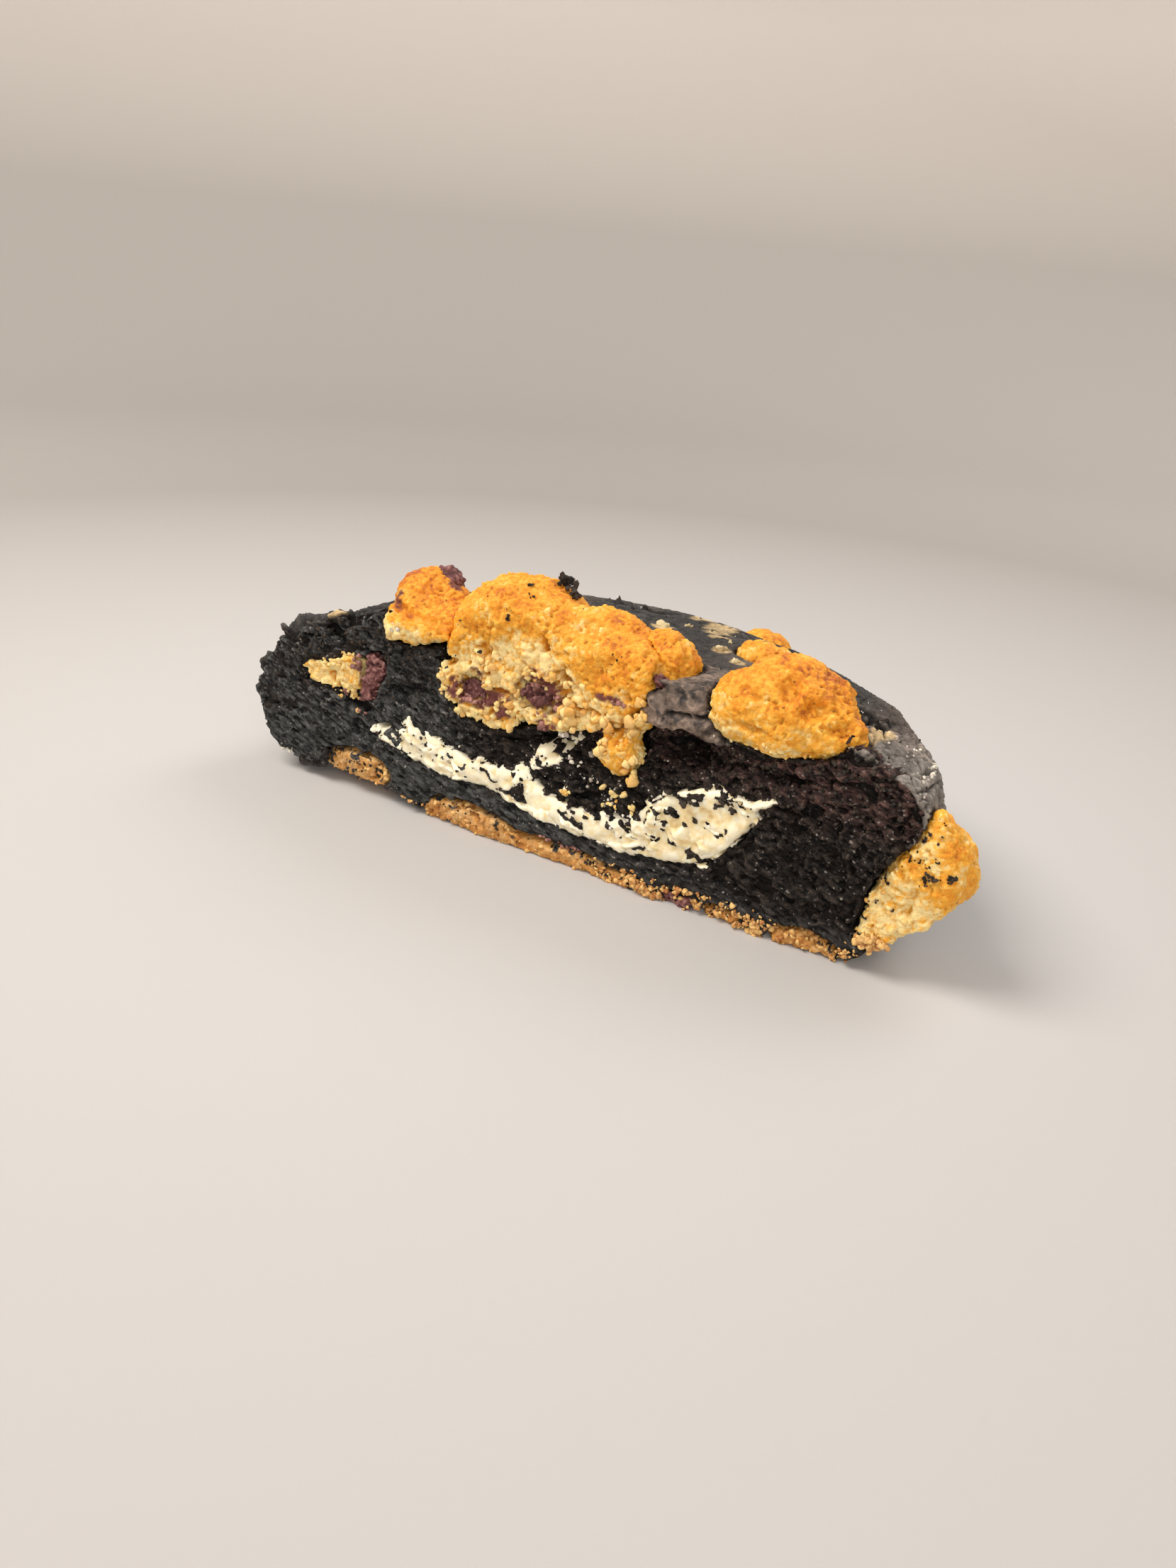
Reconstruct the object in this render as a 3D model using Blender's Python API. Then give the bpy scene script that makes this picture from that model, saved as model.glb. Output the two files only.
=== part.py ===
"""Half of a thick black brownie cookie with a cream filling, golden dough chunks and chocolate: the solids.

Metres, +Z up. The half rests on its flat base at z = 0, its cut faces -Y, and +X is the right end of the cut.
The origin lies on the base, BEHIND_CUT behind the middle of the cut, close below the middle of the weight.

Sizes and places are in millimetres, and so are the solids until the last step, which turns them to metres.
A place is (x, back, z), with back counted from the cut inwards. Each piece is worked out whole, past the cut
and the base. It is then trimmed by the rough cut and by the base, and the piece that holds it gets a pocket of
the same shape, one GAP larger.
"""

import math
from typing import Callable, NamedTuple

import bmesh
import bpy
from mathutils import Matrix, Vector, noise

METRES = 0.001  # in a millimetre

# Driving sizes of the half cookie
RADIUS = 50.6
HEIGHT = 29.0
RIM_HEIGHT = 14.2  # height of the widest ring, midway between the ends
RIM_RISE = 5.2  # it is this much higher at the right end and lower at the left
RIM_TURN = 5  # how soon that rise dies away round the rim: an odd power of the cosine
END_SHIFT = 0.9  # the left end reaches this much further than RADIUS, the right end this much less
TOP_POWER = 2.63  # roundness of the domed top: 2 is an ellipse, more is flatter
UNDER_POWER = 3.5  # the same under the rim
UNDER_DEPTH = 0.22  # how far the rounded underside would run on below the base, in rim heights
UNDER_RISE = 0.12  # it is this much more at the right end and less at the left
ROUND_WOBBLE = 0.5  # how far the round is out of true
LIFT = 2.4  # how far the underside bends up off the ground, left of the middle of the cut
LIFT_MIDDLE = -30.0
LIFT_WIDE = 10.5  # its half width along the cut
LIFT_DEEP = 16.0  # how far it runs in from the cut
LIFT_HIGH = 9.0  # the skin bends with it up to this height, less and less
BEHIND_CUT = 20.0
GAP = 0.35  # between pieces that touch

# The mesh: how far apart its points lie
ROUND_STEPS = 96  # round the whole cookie, before its skin is worked out
RISE_STEPS = 40  # from its underside to its top
BODY_STEP = 3.9
CUT_STEP = 3.6
SLIVER = 0.25  # edges shorter than this are closed up
CUTTER_MARGIN = 16.0  # how far the trimming blocks reach past the cookie
MOST_EXACT = 4  # pockets that the exact solver can take
LOBE_ROUNDS = 3  # subdivisions of the ball that a lobe starts from

# Relief of the crust and of the cut
CRUST_RELIEF = ((17.0, 1.1), (6.0, 0.55))  # (size, depth) of each noise layer
CUT_RELIEF = ((8.0, 0.7), (4.0, 0.55))
PIECE_CUT_RELIEF = ((5.0, 0.6), (2.6, 0.3))
LUMP_GRAIN = (5.0, 2.4)  # sizes of the bumps on a lump: the finer ones are half as deep
CRUST_SEED = 1.0
CUT_SEED = 2.0
SEED_SHIFT = (7.31, 3.17, 5.53)  # how far one seed's noise lies from the next
SMOOTH_BAND = 7.5  # the lowest part of the cut, pressed smooth
BAND_FADE = 3.0
BAND_FORWARD = 0.5
BAND_ROUGHNESS = 0.3  # its share of the cut's relief


class Lobe(NamedTuple):
    """One rounded bulge of a lump: its centre, its half sizes and its turn about Z in degrees."""

    x: float
    back: float
    z: float
    rx: float
    ry: float
    rz: float
    turn: float = 0.0


class Hollow(NamedTuple):
    """A soft dent in the cut: its middle, its half width and half height, and how far it is set back."""

    x: float
    z: float
    wide: float
    high: float
    depth: float


class Lump(NamedTuple):
    """A piece made of lobes: its node, what it is made of, its lobes, mesh step, relief and the cut's setback."""

    node: str
    stuff: str
    lobes: tuple
    step: float
    relief: float
    setback: float
    seed: int


class Station(NamedTuple):
    """The filling's section where it meets the cut: place along the cut, middle height and half thickness."""

    x: float
    z: float
    half: float


HOLLOWS = (
    Hollow(2.0, 17.0, 10.0, 3.2, 2.8),
    Hollow(17.0, 20.6, 7.5, 2.7, 4.4),
    Hollow(-22.5, 18.5, 4.5, 5.0, 1.2),
)

LUMPS = (
    # The large chunk on the middle of the top, cut open
    Lump(
        "chunk_middle",
        "dough",
        (
            Lobe(-8.2, 6.4, 26.0, 10.3, 9.8, 9.8),
            Lobe(4.2, 5.8, 27.0, 9.6, 5.8, 6.6),
            Lobe(-9.8, 1.0, 21.0, 8.7, 7.0, 5.7),
            Lobe(0.5, 0.5, 22.2, 7.6, 5.5, 4.7),
            Lobe(10.4, 1.8, 27.6, 5.0, 4.6, 4.0),
            Lobe(8.6, 2.2, 23.0, 3.2, 2.6, 2.6),
        ),
        2.5,
        0.55,
        0.3,
        11,
    ),
    Lump(
        "chunk_left",
        "dough",
        (
            Lobe(-25.0, 8.0, 28.0, 5.2, 5.2, 5.4),
            Lobe(-24.2, 2.2, 25.8, 5.2, 3.8, 2.1),
            Lobe(-18.6, 4.8, 27.2, 4.0, 4.2, 2.8),
            Lobe(-18.8, 1.4, 26.9, 3.4, 3.0, 1.9),
        ),
        2.05,
        0.45,
        -0.6,
        12,
    ),
    Lump("chunk_small", "dough", (Lobe(12.1, 6.0, 28.3, 4.7, 4.4, 4.4),), 1.8, 0.4, 0.0, 13),
    Lump(
        "chunk_right",
        "dough",
        (
            Lobe(29.9, 5.4, 27.7, 7.6, 6.0, 5.9),
            Lobe(25.2, 2.6, 27.0, 5.0, 4.2, 4.2),
            Lobe(30.0, 0.6, 25.5, 4.6, 2.6, 2.9),
            Lobe(36.4, 3.2, 26.3, 3.6, 3.8, 2.4),
        ),
        1.95,
        0.45,
        -0.9,
        14,
    ),
    Lump("chunk_back", "dough", (Lobe(19.4, 21.4, 27.0, 4.4, 4.2, 3.2),), 1.8, 0.35, 0.0, 15),
    Lump(
        "chunk_rim",
        "dough",
        (Lobe(10.2, 44.4, 19.9, 5.4, 4.4, 4.8, 12.0), Lobe(5.6, 45.6, 16.4, 4.4, 3.8, 4.2)),
        2.1,
        0.45,
        0.0,
        16,
    ),
    Lump(
        "chunk_rear",
        "dough",
        (Lobe(-33.0, 35.0, 16.8, 6.4, 5.0, 5.8, -42.0), Lobe(-28.2, 38.6, 13.2, 4.6, 4.0, 4.2)),
        2.1,
        0.45,
        0.0,
        17,
    ),
    Lump(
        "chunk_end",
        "dough",
        (
            Lobe(50.4, 3.6, 13.8, 4.7, 5.6, 5.1),
            Lobe(48.0, 1.2, 9.6, 4.1, 4.6, 3.8),
            Lobe(50.0, 2.2, 18.8, 1.6, 2.0, 2.9),
            Lobe(45.4, 1.2, 5.2, 2.7, 3.2, 2.1),
        ),
        1.9,
        0.45,
        -0.2,
        18,
    ),
    Lump(
        "chunk_wedge",
        "dough",
        (Lobe(-36.4, 0.6, 16.6, 7.1, 3.4, 2.1), Lobe(-33.2, 0.6, 18.2, 3.2, 3.2, 2.5)),
        1.5,
        0.4,
        -0.5,
        19,
    ),
    Lump(
        "dough_crumb",
        "dough",
        (
            Lobe(10.0, 1.6, 17.2, 3.3, 2.9, 3.0),
            Lobe(10.5, 2.0, 20.6, 1.5, 1.5, 1.7),
            Lobe(12.4, 2.2, 22.6, 1.7, 1.6, 1.9),
        ),
        1.3,
        0.4,
        -4.0,
        20,
    ),
    Lump(
        "base_patch_1",
        "dough",
        (Lobe(-34.9, 5.0, 3.6, 6.2, 9.0, 2.2), Lobe(-29.4, 5.0, 3.9, 4.9, 10.0, 2.7)),
        2.4,
        0.35,
        0.0,
        21,
    ),
    Lump(
        "base_patch_2",
        "dough",
        (Lobe(-11.8, 5.0, 0.6, 10.6, 11.0, 3.9), Lobe(5.2, 3.6, 0.2, 12.4, 8.0, 2.8)),
        2.7,
        0.35,
        -0.3,
        22,
    ),
    Lump("base_patch_3", "dough", (Lobe(27.4, 5.0, 0.3, 5.0, 9.0, 2.4, -8.0),), 2.3, 0.3, -0.2, 23),
    Lump("base_patch_4", "dough", (Lobe(37.4, 4.2, 0.3, 6.0, 8.0, 3.2, 10.0),), 2.1, 0.3, -0.3, 24),
    Lump("chocolate_1", "chocolate", (Lobe(-24.2, 9.8, 30.8, 3.0, 2.9, 2.6, 25.0),), 1.4, 0.12, 0.0, 31),
    Lump("chocolate_2", "chocolate", (Lobe(-12.6, 0.4, 20.4, 3.0, 2.6, 2.0, 15.0),), 1.3, 0.3, 0.5, 32),
    Lump("chocolate_3", "chocolate", (Lobe(-2.6, 0.4, 21.9, 2.9, 2.7, 2.2, -10.0),), 1.3, 0.3, 0.7, 33),
    Lump("chocolate_4", "chocolate", (Lobe(14.3, 1.7, 27.9, 1.7, 1.9, 2.0),), 1.2, 0.2, 0.0, 34),
    Lump(
        "chocolate_5",
        "chocolate",
        (Lobe(-29.1, 0.6, 19.4, 1.9, 2.6, 2.4), Lobe(-30.2, 0.5, 15.6, 1.4, 2.2, 2.2)),
        1.3,
        0.25,
        -0.2,
        35,
    ),
    Lump("chocolate_6", "chocolate", (Lobe(20.6, 2.4, 0.2, 3.4, 4.2, 2.0),), 1.4, 0.15, -0.2, 36),
)

# Which pieces keep their whole shape where two of them meet: the second gets the pocket
MEETINGS = (
    ("chunk_middle", "chunk_left"),
    ("chunk_middle", "chunk_small"),
    ("chunk_middle", "dough_crumb"),
    ("chocolate_1", "chunk_left"),
    ("chocolate_2", "chunk_middle"),
    ("chocolate_3", "chunk_middle"),
    ("chocolate_4", "chunk_middle"),
    ("chocolate_4", "chunk_small"),
    ("chocolate_5", "chunk_wedge"),
    ("chocolate_6", "base_patch_3"),
    ("chocolate_6", "base_patch_2"),
    ("base_patch_4", "base_patch_3"),
)

# The filling, from its thin left end to its thick right end
FILLING = (
    Station(-29.5, 10.6, 0.5),
    Station(-26.5, 10.2, 0.9),
    Station(-23.5, 10.6, 2.6),
    Station(-18.0, 9.5, 2.5),
    Station(-11.0, 8.7, 1.6),
    Station(-4.0, 8.8, 2.3),
    Station(2.0, 6.8, 1.6),
    Station(8.0, 6.8, 2.0),
    Station(13.0, 7.1, 2.9),
    Station(18.0, 10.0, 4.7),
    Station(23.0, 11.4, 5.3),
    Station(27.5, 14.2, 2.7),
    Station(30.5, 17.2, 0.5),
)
FILLING_DEPTH = 27.0  # how far it runs back into the cookie at its deepest
FILLING_LEAST = 4.0  # and at its ends
FILLING_EDGE = 0.4  # half thickness that it keeps at its back and its ends
FILLING_SAMPLES = 22  # sections along the cut
FILLING_ROWS = 5  # rows from the cut to its back edge
FILLING_AHEAD = 3.0  # how far it starts in front of the cut, before it is trimmed
FILLING_RAGGED = 0.9  # how high its crags stand
FILLING_CRAG = 2.6  # how wide they are
FILLING_SETBACK = 0.1
FILLING_SEED = 40

STUFF = {
    "crumb": ((0.013, 0.012, 0.012), 0.85),
    "cream": ((0.80, 0.74, 0.58), 0.55),
    "dough": ((0.78, 0.42, 0.12), 0.75),
    "chocolate": ((0.10, 0.035, 0.035), 0.45),
}


def clear_scene():
    """Remove every object that is there at the start."""
    for obj in list(bpy.data.objects):
        bpy.data.objects.remove(obj)


def place(x: float, back: float, z: float) -> Vector:
    """The point for a place counted from the cut."""
    return Vector((x, back - BEHIND_CUT, z))


def layered_noise(point: Vector, layers: tuple, seed: float) -> float:
    """The sum of noise layers, each (size, depth), at a point."""
    shift = Vector(SEED_SHIFT) * seed
    return sum(depth * noise.noise(point / size + shift) for size, depth in layers)


def link(name: str, bm: bmesh.types.BMesh) -> bpy.types.Object:
    """Make an object of a bmesh, in triangles that point out, and free the bmesh."""
    bmesh.ops.recalc_face_normals(bm, faces=bm.faces)
    bmesh.ops.triangulate(bm, faces=bm.faces)
    mesh = bpy.data.meshes.new(name)
    bm.to_mesh(mesh)
    bm.free()
    obj = bpy.data.objects.new(name, mesh)
    bpy.context.scene.collection.objects.link(obj)
    return obj


def apply_modifiers(obj: bpy.types.Object):
    """Replace an object's mesh by its evaluated one and drop the modifiers."""
    seen = obj.evaluated_get(bpy.context.evaluated_depsgraph_get())
    mesh = bpy.data.meshes.new_from_object(seen)
    obj.modifiers.clear()
    obj.data = mesh


def remesh(obj: bpy.types.Object, step: float):
    """Join overlapping balls into one skin of even squares, one step wide."""
    modifier = obj.modifiers.new("skin", "REMESH")
    modifier.mode = "VOXEL"
    modifier.voxel_size = step
    apply_modifiers(obj)


def boolean(obj: bpy.types.Object, others: list, operation: str, solver: str):
    """Apply one Boolean of obj with all the others at once."""
    tools = bpy.data.collections.new("tools")
    for other in others:
        tools.objects.link(other)
    modifier = obj.modifiers.new(operation.lower(), "BOOLEAN")
    modifier.operation = operation
    modifier.solver = solver
    modifier.operand_type = "COLLECTION"
    modifier.collection = tools
    apply_modifiers(obj)
    bpy.data.collections.remove(tools)


def roughen(obj: bpy.types.Object, layers: tuple, seed: float, smoothing: int):
    """Soften the creases between lobes, then push the surface in and out by noise."""
    bm = bmesh.new()
    bm.from_mesh(obj.data)
    for _ in range(smoothing):
        bmesh.ops.smooth_vert(
            bm, verts=bm.verts, factor=0.5, use_axis_x=True, use_axis_y=True, use_axis_z=True
        )
    bm.normal_update()
    moves = [v.normal * layered_noise(v.co, layers, seed) for v in bm.verts]
    for vert, move in zip(bm.verts, moves):
        vert.co += move
    bmesh.ops.triangulate(bm, faces=bm.faces)
    bm.to_mesh(obj.data)
    bm.free()


def pocket_cutter(obj: bpy.types.Object) -> bpy.types.Object:
    """A copy of a whole piece, grown by GAP, that cuts its pocket in what holds it."""
    bm = bmesh.new()
    bm.from_mesh(obj.data)
    bm.normal_update()
    moves = [v.normal * GAP for v in bm.verts]
    for vert, move in zip(bm.verts, moves):
        vert.co += move
    cutter = link(obj.name + "_pocket", bm)
    cutter.display_type = "WIRE"
    cutter.hide_render = True
    return cutter


def close_slivers(bm: bmesh.types.BMesh):
    """Close up the shortest edges, but only where the skin stays whole round them."""
    short = sorted((e for e in bm.edges if e.calc_length() < SLIVER), key=lambda e: e.calc_length())
    for edge in short:
        if not edge.is_valid:
            continue
        a, b = edge.verts
        shared = {e.other_vert(a) for e in a.link_edges} & {e.other_vert(b) for e in b.link_edges}
        if len(shared) == 2 and len(edge.link_faces) == 2:
            bmesh.ops.weld_verts(bm, targetmap={a: b})


def keep_largest(obj: bpy.types.Object):
    """Drop loose scrap: keep only the body with the most volume."""
    bm = bmesh.new()
    bm.from_mesh(obj.data)
    left = set(bm.faces)
    bodies = []
    while left:
        body = {left.pop()}
        edge_of = list(body)
        while edge_of:
            face = edge_of.pop()
            near = {f for e in face.edges for f in e.link_faces if f in left}
            left -= near
            body |= near
            edge_of.extend(near)
        bodies.append(body)

    def volume(body: set) -> float:
        return abs(sum(f.calc_center_median().dot(f.normal) * f.calc_area() for f in body)) / 3

    bodies.sort(key=volume)
    scrap = [f for body in bodies[:-1] for f in body]
    bmesh.ops.delete(bm, geom=scrap, context="FACES")
    bmesh.ops.triangulate(bm, faces=bm.faces)
    close_slivers(bm)
    bm.to_mesh(obj.data)
    bm.free()


def half_block(relief: Callable[[float, float], float]) -> bpy.types.Object:
    """A block that holds all behind the cut. Its front is a grid, set back by relief(x, z)."""
    wide, low, high = RADIUS + CUTTER_MARGIN, -CUTTER_MARGIN, HEIGHT + CUTTER_MARGIN
    columns = round(2 * wide / CUT_STEP)
    rows = round((high - low) / CUT_STEP)
    bm = bmesh.new()
    grid = []
    for j in range(rows + 1):
        z = low + (high - low) * j / rows
        line = []
        for i in range(columns + 1):
            x = -wide + 2 * wide * i / columns
            line.append(bm.verts.new(place(x, relief(x, z), z)))
        grid.append(line)
    for j in range(rows):
        for i in range(columns):
            bm.faces.new((grid[j][i], grid[j][i + 1], grid[j + 1][i + 1], grid[j + 1][i]))
    grown = bmesh.ops.extrude_face_region(bm, geom=bm.faces[:])
    moved = [g for g in grown["geom"] if isinstance(g, bmesh.types.BMVert)]
    bmesh.ops.translate(bm, verts=moved, vec=Vector((0, 2 * RADIUS, 0)))
    return link("half_block", bm)


def under_base() -> bpy.types.Object:
    """A box that fills the space below the flat base."""
    bm = bmesh.new()
    bmesh.ops.create_cube(bm, size=4 * RADIUS)
    bmesh.ops.translate(bm, vec=Vector((0, 0, -2 * RADIUS)), verts=bm.verts)
    return link("under_base", bm)


def crumb_relief(x: float, z: float) -> float:
    """How far the crumb's cut lies behind the plane of the cut: rough, with hollows, and smooth low down."""
    blend = min(max((z - SMOOTH_BAND) / BAND_FADE, 0.0), 1.0)
    rough = layered_noise(Vector((x, 0, z)), CUT_RELIEF, CUT_SEED)
    depth = rough * (BAND_ROUGHNESS + (1 - BAND_ROUGHNESS) * blend) - BAND_FORWARD * (1 - blend)
    for h in HOLLOWS:
        away = ((x - h.x) / h.wide) ** 2 + ((z - h.z) / h.high) ** 2
        depth += h.depth * math.exp(-(away**2))
    return depth


def piece_relief(setback: float, seed: int) -> Callable[[float, float], float]:
    """The relief of the cut through a piece: a little rougher than the crumb's, about its own setback."""

    def relief(x: float, z: float) -> float:
        return setback + layered_noise(Vector((x, 0, z)), PIECE_CUT_RELIEF, seed)

    return relief


def base_lift(x: float, back: float, z: float) -> float:
    """How far the skin of the whole round is bent up at a place."""
    along = math.exp(-(((x - LIFT_MIDDLE) / LIFT_WIDE) ** 4))
    inward = math.exp(-((max(back, 0.0) / LIFT_DEEP) ** 4))
    upward = min(max(1 - z / LIFT_HIGH, 0.0), 1.0)
    return LIFT * along * inward * upward


def whole_cookie() -> bpy.types.Object:
    """The whole domed round, a little below the base too, before it is cut."""
    bm = bmesh.new()
    rings = []
    for j in range(1, RISE_STEPS):
        tilt = -math.pi / 2 + math.pi * j / RISE_STEPS
        ring = []
        for i in range(ROUND_STEPS):
            angle = 2 * math.pi * i / ROUND_STEPS
            rim = RIM_HEIGHT + RIM_RISE * math.cos(angle) ** RIM_TURN
            reach = RADIUS - END_SHIFT * math.cos(angle) + ROUND_WOBBLE * math.sin(3 * angle + 0.6)
            power = TOP_POWER if tilt > 0 else UNDER_POWER
            under = rim * (1 + UNDER_DEPTH + UNDER_RISE * math.cos(angle))
            depth = HEIGHT - rim if tilt > 0 else under
            radius = reach * math.cos(tilt) ** (2 / power)
            x, back = radius * math.cos(angle), radius * math.sin(angle)
            z = rim + math.copysign(depth * abs(math.sin(tilt)) ** (2 / power), tilt)
            ring.append(bm.verts.new(place(x, back, z + base_lift(x, back, z))))
        rings.append(ring)
    for low, high in zip(rings, rings[1:]):
        for i in range(ROUND_STEPS):
            k = (i + 1) % ROUND_STEPS
            bm.faces.new((low[i], low[k], high[k], high[i]))
    bm.faces.new(rings[0])
    bm.faces.new(rings[-1])
    cookie = link("crumb_body", bm)
    remesh(cookie, BODY_STEP)
    roughen(cookie, CRUST_RELIEF, CRUST_SEED, 1)
    return cookie


def whole_lump(lump: Lump) -> bpy.types.Object:
    """One lump, whole: its lobes joined, softened and roughened."""
    bm = bmesh.new()
    for lobe in lump.lobes:
        ball = bmesh.ops.create_icosphere(bm, subdivisions=LOBE_ROUNDS, radius=1.0)["verts"]
        size = Matrix.Diagonal((lobe.rx, lobe.ry, lobe.rz, 1.0))
        turn = Matrix.Rotation(math.radians(lobe.turn), 4, "Z")
        centre = Matrix.Translation(place(lobe.x, lobe.back, lobe.z))
        bmesh.ops.transform(bm, matrix=centre @ turn @ size, verts=ball)
    obj = link(lump.node, bm)
    remesh(obj, lump.step)
    coarse, fine = LUMP_GRAIN
    roughen(obj, ((coarse, lump.relief), (fine, lump.relief / 2)), lump.seed, 2)
    return obj


def between(stations: tuple, x: float) -> tuple:
    """Middle height and half thickness at x, on a smooth curve through the stations."""
    k = next((i for i, s in enumerate(stations[1:-1], 1) if x < s.x), len(stations) - 1)
    a, b = stations[k - 1], stations[k]
    t = min(max((x - a.x) / (b.x - a.x), 0.0), 1.0)
    t = t * t * (3 - 2 * t)
    return a.z + (b.z - a.z) * t, a.half + (b.half - a.half) * t


def whole_filling() -> bpy.types.Object:
    """The filling: thick at the cut, thinning to its back edge, with a ragged upper side."""
    first, last = FILLING[0].x, FILLING[-1].x
    middle, half_wide = (first + last) / 2, (last - first) / 2
    bm = bmesh.new()
    upper, lower = [], []
    for i in range(FILLING_SAMPLES):
        x = first + (last - first) * i / (FILLING_SAMPLES - 1)
        z, half = between(FILLING, x)
        bow = math.sqrt(max(1 - ((x - middle) / half_wide) ** 2, 0))
        deep = FILLING_LEAST + (FILLING_DEPTH - FILLING_LEAST) * bow
        top, bottom = [], []
        for j in range(FILLING_ROWS + 1):
            share = j / FILLING_ROWS
            back = -FILLING_AHEAD + (deep + FILLING_AHEAD) * share
            thick = max(half * math.sqrt(max(1 - share**2, 0)), FILLING_EDGE)
            crag = noise.noise(Vector((x / FILLING_CRAG, share * FILLING_ROWS, FILLING_SEED)))
            ragged = FILLING_RAGGED * (1 - share) * crag
            top.append(bm.verts.new(place(x, back, z + thick + max(ragged, FILLING_EDGE - thick))))
            bottom.append(bm.verts.new(place(x, back, z - thick)))
        upper.append(top)
        lower.append(bottom)
    for i in range(FILLING_SAMPLES - 1):
        for j in range(FILLING_ROWS):
            bm.faces.new((upper[i][j], upper[i + 1][j], upper[i + 1][j + 1], upper[i][j + 1]))
            bm.faces.new((lower[i][j], lower[i][j + 1], lower[i + 1][j + 1], lower[i + 1][j]))
        for j in (0, FILLING_ROWS):
            bm.faces.new((upper[i][j], lower[i][j], lower[i + 1][j], upper[i + 1][j]))
    for i in (0, FILLING_SAMPLES - 1):
        for j in range(FILLING_ROWS):
            bm.faces.new((upper[i][j], upper[i][j + 1], lower[i][j + 1], lower[i][j]))
    return link("cream", bm)


def paint(obj: bpy.types.Object, stuff: str):
    """Give an object its material."""
    colour, roughness = STUFF[stuff]
    material = bpy.data.materials.get(stuff) or bpy.data.materials.new(stuff)
    material.use_nodes = True
    shader = material.node_tree.nodes["Principled BSDF"]
    shader.inputs["Base Color"].default_value = (*colour, 1.0)
    shader.inputs["Roughness"].default_value = roughness
    obj.data.materials.clear()
    obj.data.materials.append(material)


def finish(obj: bpy.types.Object, pockets: list, relief: Callable[[float, float], float], stuff: str):
    """Cut a whole piece: its pockets and its base, then the rough cut. Drop what comes loose, and turn to metres.

    Where many pockets meet, the exact solver loses the piece, and the manifold one keeps it.
    """
    solver = "MANIFOLD" if len(pockets) > MOST_EXACT else "EXACT"
    base = under_base()
    boolean(obj, [*pockets, base], "DIFFERENCE", solver)
    block = half_block(relief)
    boolean(obj, [block], "INTERSECT", solver)
    bpy.data.objects.remove(base)
    bpy.data.objects.remove(block)
    keep_largest(obj)
    obj.data.transform(Matrix.Scale(METRES, 4))
    paint(obj, stuff)


def main():
    """Make every piece whole, then finish each with the pockets for its neighbours."""
    clear_scene()
    pieces = {lump.node: whole_lump(lump) for lump in LUMPS}
    pieces["cream"] = whole_filling()
    pockets = {node: pocket_cutter(obj) for node, obj in pieces.items()}
    for lump in LUMPS:
        held = [pockets[whole] for whole, holder in MEETINGS if holder == lump.node]
        finish(pieces[lump.node], held, piece_relief(lump.setback, lump.seed), lump.stuff)
    finish(pieces["cream"], [], piece_relief(FILLING_SETBACK, FILLING_SEED), "cream")
    finish(whole_cookie(), list(pockets.values()), crumb_relief, "crumb")
    for cutter in pockets.values():
        bpy.data.objects.remove(cutter)


main()
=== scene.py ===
"""The looks of half a thick black brownie cookie: crumb, crust, cream, golden dough chunks and chocolate.

Every piece here is worked out in millimetres in the frame's own axes, and turned to metres when it is done.
The cut faces -Y, +X is the right end of the cut, and +Z is up. A fine skin is laid over each CAD solid,
pushed in and out by seeded noise of real sizes, and dressed in a procedural material. Loose granules are
joined meshes.
"""

import logging
import math
from dataclasses import dataclass, field
from enum import Enum, IntEnum
from functools import partial
from typing import Callable, Iterable

import bmesh
import bpy
import numpy as np
from mathutils import Matrix, Vector
from mathutils.bvhtree import BVHTree


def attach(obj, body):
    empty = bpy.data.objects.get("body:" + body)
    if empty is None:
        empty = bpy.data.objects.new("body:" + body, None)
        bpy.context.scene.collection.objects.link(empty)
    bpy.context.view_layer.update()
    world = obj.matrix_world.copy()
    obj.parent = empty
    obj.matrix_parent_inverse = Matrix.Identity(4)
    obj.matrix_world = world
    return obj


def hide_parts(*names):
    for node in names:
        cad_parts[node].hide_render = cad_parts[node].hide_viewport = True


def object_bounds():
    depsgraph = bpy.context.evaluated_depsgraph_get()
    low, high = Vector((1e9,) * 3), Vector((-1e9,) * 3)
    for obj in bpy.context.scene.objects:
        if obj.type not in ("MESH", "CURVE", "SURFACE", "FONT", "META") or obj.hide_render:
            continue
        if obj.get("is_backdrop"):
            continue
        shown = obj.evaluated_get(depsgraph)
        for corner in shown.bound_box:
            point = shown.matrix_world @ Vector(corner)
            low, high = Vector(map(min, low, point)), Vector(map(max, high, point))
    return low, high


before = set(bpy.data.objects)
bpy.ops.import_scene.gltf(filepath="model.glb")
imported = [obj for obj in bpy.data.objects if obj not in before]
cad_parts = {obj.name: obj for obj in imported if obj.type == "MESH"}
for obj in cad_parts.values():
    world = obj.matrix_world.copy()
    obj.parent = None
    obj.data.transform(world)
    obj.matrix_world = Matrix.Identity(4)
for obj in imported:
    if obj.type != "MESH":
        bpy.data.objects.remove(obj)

LOG = logging.getLogger("brownie_half")

MM = 0.001  # metres in a millimetre
PER_METRE = 1000.0  # millimetres in a metre
CUT_Y = -20.0  # the plane of the cut
CUT_DEPTH = 6.0  # how far behind that plane the torn ground of the cut may lie

Array = np.ndarray
Feed = object  # what an input holds: a plain value, or the socket or the node that feeds it


class Slot(Enum):
    """The record's material slots."""

    CRUMB = "black_crumb"
    CREAM = "cream"
    DOUGH = "golden_dough"
    CHOCOLATE = "chocolate"


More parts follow.
